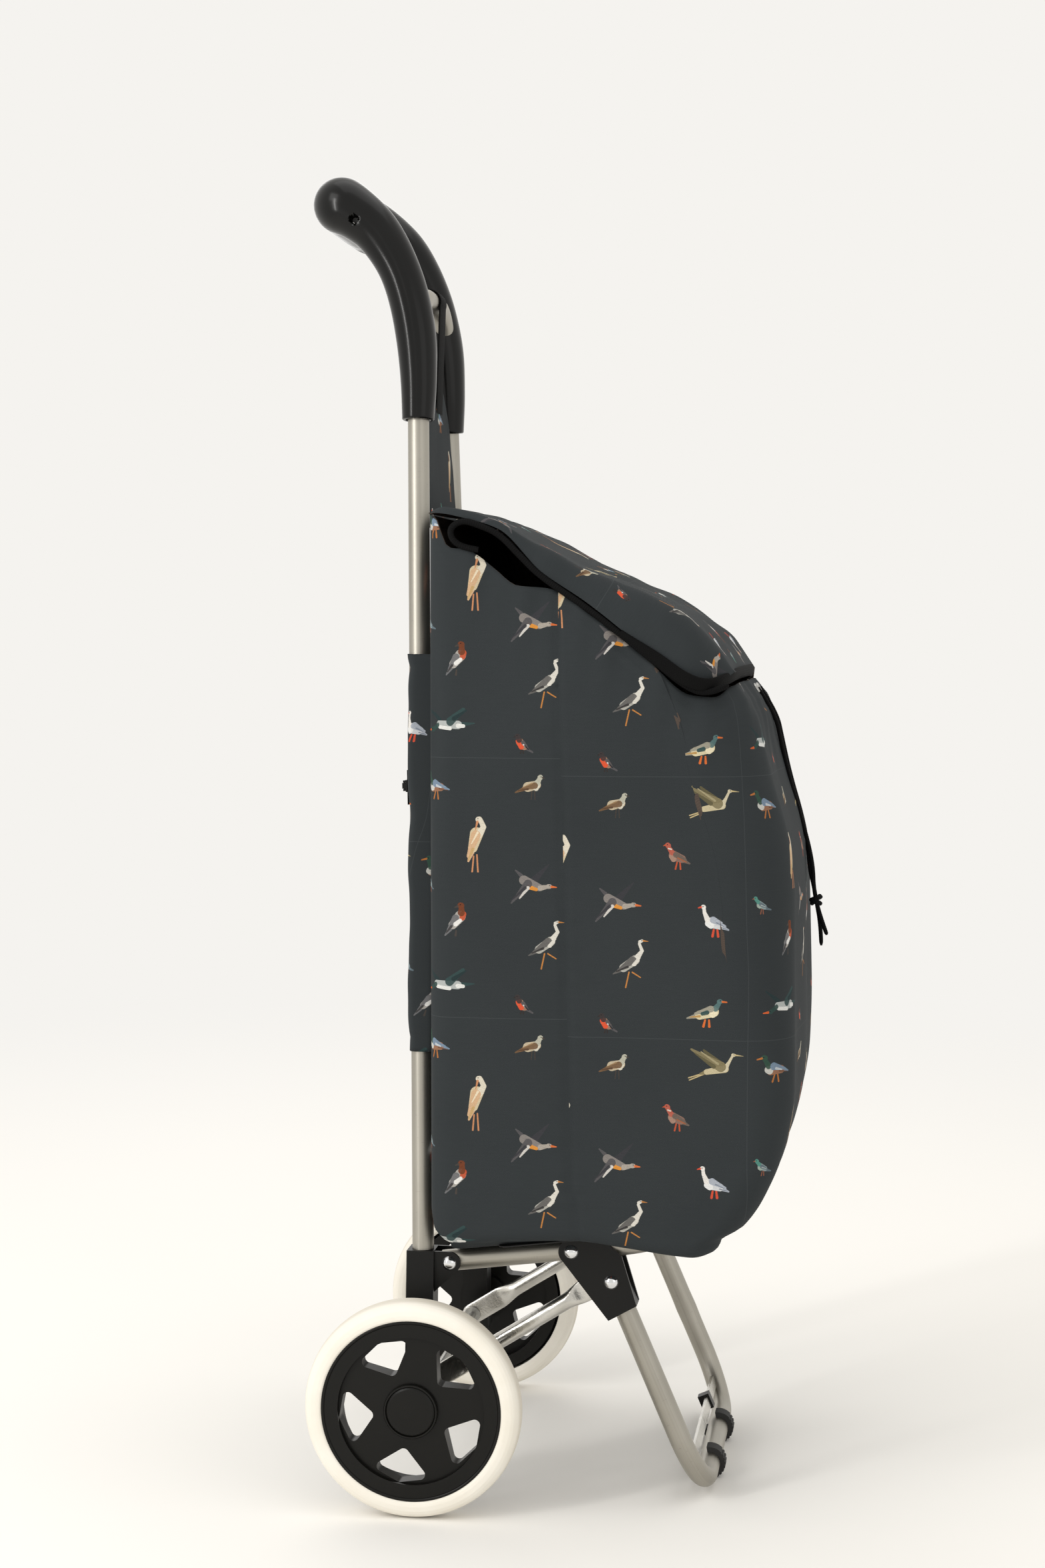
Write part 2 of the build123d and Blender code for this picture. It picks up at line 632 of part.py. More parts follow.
def zip_puller():
    """The puller: a fork round the slider's bridge, turning on an upright pin."""
    fork = Pos(-3.2, 0, 0) * Cylinder(0.8, 8.0)
    for sign in (-1, 1):
        fork += Pos(-3.2, 5.0, sign * 3.3) * Box(1.8, 12.0, 1.4)
    fork += Pos(-3.2, 14.5, 0) * Box(1.8, 9.0, 8.0)
    return on_pocket(4.3, SLIDER_Y, one(fork))


# ---- cords ----
TAILS = {
    "right": [(239.2, -15.0, 601.1), (252.3, -14.6, 582.0), (256.9, -13.6, 561.0), (263.0, -12.2, 534.0),
              (272.9, -9.8, 501.0), (279.0, -6.6, 478.0), (281.6, -3.6, 462.0), (282.0, -2.2, 449.0),
              (284.2, -1.9, 436.0), (289.2, -2.4, 420.0), (292.4, -3.4, 411.5)],
    "left": [(239.2, 15.0, 601.1), (252.3, 14.6, 582.0), (256.9, 13.6, 561.0), (263.0, 12.2, 534.0),
             (272.9, 9.8, 501.0), (277.2, 6.8, 478.0), (279.0, 4.0, 460.0), (281.9, 2.2, 449.0),
             (284.2, 1.9, 436.0), (287.4, 3.0, 418.0), (287.9, 4.6, 402.5)],
}
KNOT = (283.7, 0.0, 438.0)
KNOT_R = 4.8


def cord_tail(name):
    """One free end of the drawcord: down the front of the bag, through the knot, to its cut end."""
    return cord(f"cord_tail_{name}", TAILS[name], CORD_R)


def drawcord_knot():
    """The knot that ties the two ends together."""
    return Pos(*KNOT) * Sphere(KNOT_R)


def rim_cord(name, side):
    """The drawcord in the edge of the mouth, from the back corner to the front."""
    points = [(x, side * (BAG_HALF - BAG_WALL / 2), z) for x, z in CORD_EDGE]
    return cord(f"rim_cord_{name}", points, RIM_CORD_R)


def eyelets():
    """Two metal eyelets in the front of the bag, where the drawcord comes out."""
    rings = []
    for side in SIDES.values():
        plane = Plane((237.7, side * 15.0, 600.1), z_dir=(0.849, 0, 0.528))
        rings.append(extrude(plane * (Circle(4.4) - Circle(2.2)), amount=1.0))
    return group(rings)


# ---- write every sub-part ----
for name, side in SIDES.items():
    send(f"upright_{name}", upright(side))
    send(f"rear_bracket_{name}", rear_bracket(side))
    send(f"tyre_{name}", tyre(side))
    send(f"hub_{name}", hub(side))
    send(f"hub_cap_{name}", hub_cap(side))
    send(f"wheel_bush_{name}", wheel_bush(side))
    send(f"front_bracket_{name}", front_bracket(side))
    send(f"foot_{name}", foot(side))
    send(f"link_{name}", link(side))
    send(f"link_pin_{name}", link_pin(side))
    send(f"cord_tail_{name}", cord_tail(name))
    send(f"rim_cord_{name}", rim_cord(name, side))

for label, pivot in (("a", PIVOT_A), ("b", PIVOT_B), ("c", PIVOT_C)):
    send(f"rivets_{label}", group(domed_rivet(*pivot, side, label != "c") for side in SIDES.values()))

front_shell, rear_shell = handle_halves()
send("handle_front_shell", front_shell)
send("handle_rear_shell", rear_shell)
send("handle_screws", handle_screws())
send("hoop", hoop())
send("axle", axle())
send("axle_clips", axle_clips())
send("axle_nuts", axle_nuts())
send("platform_tube", platform_tube())
send("base_board", base_board())
send("stand_leg", stand_leg())
send("stand_strip", stand_strip())
send("strip_clip", strip_clip())

bag_shell, bag_lining, lid_flap, flap_band = bag_parts()
send("bag_shell", bag_shell)
send("bag_lining", bag_lining)
send("lid_flap", lid_flap)
send("flap_band", flap_band)
send("tongue", tongue())
send("hanger_loop", hanger_loop())
send("rear_pocket", rear_pocket())
send("zip_tape", zip_tape())
send("zip_slider", zip_slider())
send("zip_puller", zip_puller())
send("drawcord_knot", drawcord_knot())
send("eyelets", eyelets())
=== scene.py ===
import json
import math

import bpy
import numpy as np
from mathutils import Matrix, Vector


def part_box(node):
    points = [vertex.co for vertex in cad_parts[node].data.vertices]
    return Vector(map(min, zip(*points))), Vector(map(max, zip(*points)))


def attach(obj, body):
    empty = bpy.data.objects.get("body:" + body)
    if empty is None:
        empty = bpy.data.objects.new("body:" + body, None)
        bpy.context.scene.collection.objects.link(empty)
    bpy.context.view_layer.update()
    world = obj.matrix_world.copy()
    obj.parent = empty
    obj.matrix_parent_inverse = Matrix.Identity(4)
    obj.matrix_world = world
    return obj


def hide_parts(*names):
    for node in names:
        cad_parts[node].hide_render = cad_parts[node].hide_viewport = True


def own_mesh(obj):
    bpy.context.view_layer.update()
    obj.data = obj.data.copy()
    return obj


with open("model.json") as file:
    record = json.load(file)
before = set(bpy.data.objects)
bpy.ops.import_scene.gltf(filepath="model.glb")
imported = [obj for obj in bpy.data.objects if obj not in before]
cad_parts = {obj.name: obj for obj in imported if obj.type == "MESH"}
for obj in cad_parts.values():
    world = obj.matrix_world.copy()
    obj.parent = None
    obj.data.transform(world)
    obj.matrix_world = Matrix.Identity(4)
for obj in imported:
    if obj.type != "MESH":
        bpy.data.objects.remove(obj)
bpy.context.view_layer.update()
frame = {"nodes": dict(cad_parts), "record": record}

low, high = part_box("axle")
AXLE_X = (low[0] + high[0]) / 2
WHEEL_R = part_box("tyre_left")[1][2] * 500
SIDES = {"left": 1, "right": -1}
TRACK_HALF = 169.5   # a wheel's middle, sideways
TUBE_R = 8.0
RAIL_HALF = 122      # the middle of the platform's and the stand's side tubes
LINK_HALF = 101.5
CORD_R, RIM_CORD_R = 1.6, 2.3
CLOTH = 0.0012       # metres


# ---------------------------------------------------------------- shapes
# Shapes are worked out in millimetres from a point on the floor under the axle:
# x forwards, y to the left, z up.

def place(points):
    """Millimetres from the axle's floor point become metres in the trolley's frame."""
    return np.asarray(points, float) / 1000 + (AXLE_X, 0, 0)


def unit(v):
    """Each vector divided by its own length."""
    return v / np.maximum(np.linalg.norm(v, axis=-1, keepdims=True), 1e-12)


def ease(t):
    """A smooth step: 3 t squared less 2 t cubed, for t held between 0 and 1."""
    t = np.clip(t, 0, 1)
    return t * t * (3 - 2 * t)


def through(xs, ys, x):
    """A smooth curve through the points (xs, ys): on each run a cubic whose end slopes are the mean of the
    slopes beside each point, held to the smaller of them where they would overshoot."""
    xs, ys, x = np.asarray(xs, float), np.asarray(ys, float), np.asarray(x, float)
    run = np.diff(ys) / np.diff(xs)
    mid = np.where(run[1:] * run[:-1] > 0, 2 * run[1:] * run[:-1] / (run[1:] + run[:-1] + 1e-12), 0)
    slope = np.concatenate([[run[0]], mid, [run[-1]]])
    i = np.clip(np.searchsorted(xs, x) - 1, 0, len(xs) - 2)
    h = xs[i + 1] - xs[i]
    t = np.clip((x - xs[i]) / h, 0, 1)
    return ((1 + 2 * t) * (1 - t) ** 2 * ys[i] + t * (1 - t) ** 2 * h * slope[i]
            + t * t * (3 - 2 * t) * ys[i + 1] + t * t * (t - 1) * h * slope[i + 1])


def turns(count):
    """Equal turns round a circle, in radians."""
    return np.linspace(0, 2 * math.pi, count, endpoint=False)


def spread(points, count):
    """Count points at equal steps of length along a chain of points."""
    points = np.asarray(points, float)
    at = np.concatenate([[0], np.cumsum(np.linalg.norm(np.diff(points, axis=0), axis=1))])
    want = np.linspace(0, at[-1], count)
    return np.stack([np.interp(want, at, points[:, k]) for k in range(points.shape[1])], 1)


def ripple(u, v, seed, scale, count=9):
    """Soft uneven waves about 1 high: a sum of sines whose directions, lengths near scale and phases come
    from the seed."""
    rng = np.random.default_rng(seed)
    total = np.zeros(np.broadcast(u, v).shape)
    for _ in range(count):
        turn, size, phase = rng.uniform(0, 2 * math.pi), rng.uniform(0.6, 1.8), rng.uniform(0, 2 * math.pi)
        total = total + np.sin((u * math.cos(turn) + v * math.sin(turn)) * 2 * math.pi / (scale * size) + phase)
    return total / math.sqrt(count)


def grid(points, wrap=False, ends=False, uv=None, flip=False, shift=None):
    """A sheet of four-cornered faces on a rows by columns grid of points. wrap joins the last column to the
    first, and ends closes the first and last rows with a face each. Rows run first, columns turn. shift moves
    the UV of single faces."""
    rows, cols = points.shape[:2]
    used = cols if wrap else cols - 1
    r, c = np.meshgrid(np.arange(rows - 1), np.arange(used), indexing="ij")
    n = (c + 1) % cols
    quads = np.stack([r * cols + c, r * cols + n, (r + 1) * cols + n, (r + 1) * cols + c], -1).reshape(-1, 4)
    corners = None
    if uv is not None:
        m = c + 1 if uv.shape[1] > cols or not wrap else n
        corners = np.stack([uv[r, c], uv[r, m], uv[r + 1, m], uv[r + 1, c]], -2).reshape(-1, 4, 2)
        if shift is not None:
            corners = corners + shift.reshape(-1, 1, 2)
    if flip:
        quads = quads[:, ::-1]
        corners = None if corners is None else corners[:, ::-1]
    faces = quads.tolist()
    if ends:
        first, last = list(range(cols)), list(range((rows - 1) * cols, rows * cols))
        faces += [last[::-1] if flip else last]
        if ends != "last":
            faces += [first if flip else first[::-1]]
    flat = None if corners is None else corners.reshape(-1, 2)
    return points.reshape(-1, 3), faces, flat


def piece(name, parts, finish, body, nodes=(), sharp=35.0, marks=None, inner=None):
    """One finished piece from one or more grids: a mesh at the origin, riding on its body."""
    points, faces, loops, start = [], [], [], 0
    for verts, polys, flat in parts:
        points.append(place(verts))
        faces += [[start + i for i in f] for f in polys]
        start += len(verts)
        count = sum(len(f) for f in polys)
        have = np.zeros((count, 2))
        if flat is not None:
            have[:len(flat)] = flat
        loops.append(have)
    mesh = bpy.data.meshes.new(name)
    mesh.from_pydata(np.concatenate(points), [], faces)
    layer = mesh.uv_layers.new(name="UVMap")
    layer.data.foreach_set("uv", (np.concatenate(loops) / 1000).astype(np.float32).ravel())
    for key, values in (marks or {}).items():
        mesh.attributes.new(key, "FLOAT", "POINT").data.foreach_set("value", values.astype(np.float32).ravel())
    mesh.validate()
    mesh.shade_smooth()
    mesh.set_sharp_from_angle(angle=math.radians(sharp))
    mesh.materials.append(finish)
    if inner is not None:
        mesh.materials.append(inner)
    made = bpy.data.objects.new(name, mesh)
    bpy.context.scene.collection.objects.link(made)
    if body:
        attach(made, body)
    if nodes:
        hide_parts(*nodes)
    return made


def thicken(made, thick, offset=-1, rim=1):
    """Cloth given its thickness in metres: its second finish lies inside, and on its edges where rim is 1."""
    solid = made.modifiers.new("thickness", "SOLIDIFY")
    solid.thickness, solid.offset, solid.material_offset, solid.material_offset_rim = thick, offset, 1, rim


def shut(parts):
    """A closed form whose volume counts negative is turned the right way out."""
    turned = []
    for verts, polys, flat in parts:
        total = 0.0
        quads = np.array([f for f in polys if len(f) == 4])
        for a, b, c in ((0, 1, 2), (0, 2, 3)):
            p, q, r = verts[quads[:, a]], verts[quads[:, b]], verts[quads[:, c]]
            mid = verts.mean(0)
            total += np.einsum("ij,ij->i", np.cross(p - mid, q - mid), r - mid).sum()
        if total < 0:
            if flat is not None:
                head = flat[:len(quads) * 4].reshape(-1, 4, 2)[:, ::-1].reshape(-1, 2)
                flat = np.concatenate([head, flat[len(quads) * 4:]])
            polys = [f[::-1] for f in polys]
        turned.append((verts, polys, flat))
    return turned


def bent(points, radii, step=3.0):
    """A chain of straight runs with an arc of each given radius at each corner, as points a step apart."""
    points = [np.asarray(p, float) for p in points]
    chain = [points[0][None]]
    for here, before, after, radius in zip(points[1:], points, points[2:], radii):
        a, b = unit(before - here), unit(after - here)
        half = math.acos(float(np.clip(a @ b, -1, 1))) / 2
        middle = here + unit(a + b) * radius / math.sin(half)
        start = here + a * radius / math.tan(half)
        x = (start - middle) / radius
        y = unit(-a - x * (-a @ x))
        turn = np.linspace(0, math.pi - 2 * half, max(4, int((math.pi - 2 * half) * radius / step)))[:, None]
        chain.append(middle + radius * (np.cos(turn) * x + np.sin(turn) * y))
    chain.append(points[-1][None])
    chain = np.concatenate(chain)
    gaps = np.linalg.norm(np.diff(chain, axis=0), axis=1)
    parts = [np.linspace(p, q, max(2, int(g / 12) + 1))[:-1] for p, q, g in zip(chain, chain[1:], gaps)]
    return np.concatenate([*parts, chain[-1:]])


def frames(path, up=(0.0, 0.0, 1.0)):
    """Directions along a path: its tangent, and two square to it that turn as little as they can."""
    tangent = unit(np.gradient(path, axis=0))
    up = np.asarray(up, float)
    if abs(tangent[0] @ up) > 0.9:
        up = np.array([0.0, 1.0, 0.0])
    side = [unit(up - tangent[0] * (up @ tangent[0]))]
    for t in tangent[1:]:
        side.append(unit(side[-1] - t * (side[-1] @ t)))
    side = np.array(side)
    return tangent, side, np.cross(tangent, side)


def carried(path, ring, sizes=None, up=(0.0, 0.0, 1.0)):
    """A ring of (a, b) offsets carried along a path: point = path + size (a side + b other side). Its UV is the
    distance round the ring and the distance along the path."""
    path = np.asarray(path, float)
    _, side, other = frames(path, up)
    ring = np.asarray(ring, float)
    if ring.ndim == 2:
        ring = np.broadcast_to(ring, (len(path), *ring.shape))
    sizes = np.ones(len(path)) if sizes is None else np.asarray(sizes, float)
    a, b = ring[..., 0] * sizes[:, None], ring[..., 1] * sizes[:, None]
    points = path[:, None] + a[..., None] * side[:, None] + b[..., None] * other[:, None]
    along = np.concatenate([[0], np.cumsum(np.linalg.norm(np.diff(path, axis=0), axis=1))])
    closed = np.concatenate([ring[0], ring[0][:1]])
    round_ = np.concatenate([[0], np.cumsum(np.linalg.norm(np.diff(closed, axis=0), axis=1))]) * sizes.mean()
    uv = np.stack(np.meshgrid(along, round_, indexing="ij"), -1)[..., ::-1]
    return grid(points, wrap=True, ends=True, uv=uv)


def circle(count):
    """Count points on a circle of radius 1: the cosine and the sine of equal turns."""
    turn = turns(count)
    return np.stack([np.cos(turn), np.sin(turn)], 1)


def turned(profile, side, count):
    """A profile of (radius, distance outwards) points turned about a wheel's axis."""
    profile = np.asarray(profile, float)
    turn = turns(count)
    r, out = profile[:, 0][:, None], profile[:, 1][:, None]
    y = np.broadcast_to(side * (TRACK_HALF + out), (len(profile), count))
    points = np.stack([r * np.cos(turn), y, WHEEL_R + r * np.sin(turn)], -1)
    return grid(points, wrap=True, uv=np.stack(np.broadcast_arrays(
        (turn * r.max())[None], np.arange(len(profile))[:, None] * 3.0), -1))


def rounded(corners, radii, steps=6):
    """A closed outline whose corners are arcs of the given radii."""
    corners = np.asarray(corners, float)
    radii = np.broadcast_to(radii, len(corners))
    chain = []
    for here, before, after, radius in zip(corners, np.roll(corners, 1, 0), np.roll(corners, -1, 0), radii):
        a, b = unit(before - here), unit(after - here)
        half = math.acos(float(np.clip(a @ b, -1, 1))) / 2
        middle = here + unit(a + b) * radius / math.sin(half)
        start = here + a * radius / math.tan(half) - middle
        stop = here + b * radius / math.tan(half) - middle
        t = np.linspace(0, 1, steps)[:, None]
        angle = math.pi - 2 * half
        chain.append(middle + (np.sin((1 - t) * angle) * start + np.sin(t * angle) * stop) / math.sin(angle))
    return np.concatenate(chain)


# ---------------------------------------------------------------- finishes

class Tone:
    """A number or colour inside a finish. The usual signs on it add Math nodes."""

    def __init__(self, finish, socket):
        self.finish, self.socket = finish, socket

    def sum_of(self, operation, *values, clamp=False):
        settings = {"operation": operation, "use_clamp": clamp}
        return self.finish.node("ShaderNodeMath", settings, dict(enumerate(values)))

    def __add__(self, other): return self.sum_of("ADD", self, other)
    def __radd__(self, other): return self.sum_of("ADD", other, self)
    def __sub__(self, other): return self.sum_of("SUBTRACT", self, other)
    def __rsub__(self, other): return self.sum_of("SUBTRACT", other, self)
    def __mul__(self, other): return self.sum_of("MULTIPLY", self, other)
    def __rmul__(self, other): return self.sum_of("MULTIPLY", other, self)
    def __truediv__(self, other): return self.sum_of("DIVIDE", self, other)
    def __rtruediv__(self, other): return self.sum_of("DIVIDE", other, self)
    def __pow__(self, other): return self.sum_of("POWER", self, other)
    def __rpow__(self, other): return self.sum_of("POWER", other, self)

    def held(self):
        """Kept between 0 and 1."""
        return self.sum_of("ADD", self, 0.0, clamp=True)

    def wave(self):
        """Its sine, as an angle in radians."""
        return self.sum_of("SINE", self)

    def over(self, other):
        """1 where this is greater than the other."""
        return self.sum_of("GREATER_THAN", self, other)

    def below(self, level, soft):
        """1 under a level and 0 above it, with a soft edge."""
        return ((level - self) / soft + 0.5).held()


class Finish:
    """A material whose nodes are added by name."""

    def __init__(self, name, colour, roughness, metallic=0.0, **fixed):
        self.material = bpy.data.materials.new(name)
        self.material.use_nodes = True
        self.tree = self.material.node_tree
        self.shader = self.tree.nodes["Principled BSDF"]
        self.give(**{"Base Color": (*colour, 1), "Roughness": roughness, "Metallic": metallic})
        for key, value in fixed.items():
            self.shader.inputs[key.replace("_", " ")].default_value = value

    def node(self, kind, settings=None, sockets=None, out=0):
        """Any node: its settings are set first, then its sockets by number or name."""
        made = self.tree.nodes.new(kind)
        for key, value in (settings or {}).items():
            if key == "stops":
                ramp = made.color_ramp
                ramp.elements.remove(ramp.elements[-1])
                ramp.elements[0].position, ramp.elements[0].color = value[0][0], value[0][1]
                for at, colour in value[1:]:
                    ramp.elements.new(at).color = colour
            elif key == "steps":
                made.color_ramp.interpolation = value
            else:
                setattr(made, key, value)
        for key, value in (sockets or {}).items():
            if isinstance(value, Tone):
                self.tree.links.new(value.socket, made.inputs[key])
            else:
                made.inputs[key].default_value = value
        return Tone(self, made.outputs[out])

    def give(self, **sockets):
        """Sets or links the shader's own sockets."""
        for key, value in sockets.items():
            if isinstance(value, Tone):
                self.tree.links.new(value.socket, self.shader.inputs[key])
            else:
                self.shader.inputs[key].default_value = value

    def where(self):
        return self.node("ShaderNodeTexCoord", out="Object")

    def cloth_place(self):
        return self.node("ShaderNodeUVMap", {"uv_map": "UVMap"})

    def mark(self, name):
        return self.node("ShaderNodeAttribute", {"attribute_name": name}, out="Fac")

    def noise(self, place, scale, detail=3.0, rough=0.5):
        return self.node("ShaderNodeTexNoise", None,
                         {"Vector": place, "Scale": scale, "Detail": detail, "Roughness": rough})

    def stretched(self, place, scale):
        return self.node("ShaderNodeMapping", None, {"Vector": place, "Scale": scale})

    def split(self, vector):
        first = self.node("ShaderNodeSeparateXYZ", None, {0: vector})
        outs = first.socket.node.outputs
        return Tone(self, outs[0]), Tone(self, outs[1]), Tone(self, outs[2])

    def mixed(self, share, first, second, blend="MIX"):
        """One colour over another."""
        made = self.tree.nodes.new("ShaderNodeMix")
        made.data_type, made.blend_type = "RGBA", blend
        for key, value in (("Factor_Float", share), ("A_Color", first), ("B_Color", second)):
            socket = next(s for s in made.inputs if s.identifier == key)
            if isinstance(value, Tone):
                self.tree.links.new(value.socket, socket)
            else:
                socket.default_value = value if isinstance(value, float) else (*value[:3], 1)
        return Tone(self, next(s for s in made.outputs if s.identifier == "Result_Color"))

    def bumped(self, height, depth, strength=1.0):
        """The surface's slopes from a height between 0 and 1, so many metres deep."""
        self.give(Normal=self.node("ShaderNodeBump", None,
                                   {"Strength": strength, "Distance": depth, "Height": height}))


def tint(*rgb):
    """A screen colour from 0 to 255 as the light it gives."""
    c = np.array(rgb, float) / 255
    return tuple(float(x) for x in np.where(c <= 0.04045, c / 12.92, ((c + 0.055) / 1.055) ** 2.4))


def brushed_tube():
    """Drawn tube with a satin skin: long streaks along it, faint handling marks and a little dullness."""
    f = Finish("brushed_tube", (0.6, 0.59, 0.57), 0.3, 1.0)
    uv = f.cloth_place()
    streak = f.noise(f.stretched(uv, (900.0, 6.0, 1.0)), 1.0, 4.0, 0.6)
    cloud = f.noise(f.where(), 22.0, 4.0)
    scratch = f.noise(f.stretched(uv, (160.0, 1400.0, 1.0)), 1.0, 2.0).below(0.30, 0.02)
    tone = f.mixed((streak * 0.6 + cloud * 0.5 - 0.05).held(), tint(140, 136, 127), tint(188, 184, 174))
    f.give(**{"Base Color": f.mixed(scratch * 0.35, tone, tint(120, 116, 110)),
              "Roughness": 0.3 + streak * 0.16 + cloud * 0.08})
    f.bumped(streak, 0.00004, 0.5)
    return f.material


def pressed_tube():
    """Bare tube pressed flat at its ends: brighter and a little dented."""
    f = Finish("pressed_tube", (0.7, 0.69, 0.67), 0.2, 1.0)
    cloud = f.noise(f.where(), 60.0, 4.0)
    fine = f.noise(f.where(), 600.0, 3.0)
    f.give(**{"Base Color": f.mixed(cloud, tint(170, 167, 160), tint(226, 224, 218)),
              "Roughness": 0.16 + cloud * 0.16})
    f.bumped(cloud * 0.8 + fine * 0.2, 0.0009, 0.6)
    return f.material


def plated(name, dark, light, roughness, grain):
    """Plated or turned metal with a fine uneven grain."""
    f = Finish(name, light, roughness, 1.0)
    spots = f.noise(f.where(), grain, 4.0)
    f.give(**{"Base Color": f.mixed(spots, dark, light), "Roughness": roughness + spots * 0.12})
    f.bumped(spots, 0.00003, 0.6)
    return f.material


def moulding(name, dark, light, roughness, grain, depth, coat=0.0):
    """Moulded plastic: a fine pebbled skin, uneven sheen and a few dusty marks."""
    f = Finish(name, dark, roughness, 0.0, Specular_IOR_Level=0.22, Coat_Weight=coat, Coat_Roughness=0.12)
    fine = f.noise(f.where(), grain, 3.0)
    cloud = f.noise(f.where(), 28.0, 4.0)
    dust = f.noise(f.where(), 260.0, 4.0).over(0.70)
    f.give(**{"Base Color": f.mixed((cloud * 0.8 + dust * 0.25).held(), dark, light),
              "Roughness": roughness - 0.06 + cloud * 0.14 + fine * 0.06})
    f.bumped(fine, depth, 0.5)
    return f.material


def tyre_foam():
    """Cream foam: pale with faint warm clouds, a close-pored skin, and a dusty band where it rolls."""
    f = Finish("tyre_foam", tint(236, 231, 220), 0.62)
    cloud = f.noise(f.where(), 30.0, 4.0)
    pores = f.noise(f.where(), 1300.0, 3.0)
    rolled = f.mark("rolled")
    skin = f.mixed(cloud, tint(228, 222, 208), tint(243, 239, 230))
    skin = f.mixed(rolled * (0.25 + cloud * 0.45), skin, tint(188, 178, 160))
    f.give(**{"Base Color": skin, "Roughness": 0.5 + cloud * 0.2})
    f.bumped(pores, 0.00012, 0.5)
    return f.material


def woven(f, uv, pitch=0.00055):
    """The height of a plain weave: threads over and under in turn, each a rounded wave."""
    u, v, _ = f.split(uv)
    across, along = (u * (math.pi / pitch)).wave(), (v * (math.pi / pitch)).wave()
    return (across * along) * 0.5 + 0.5


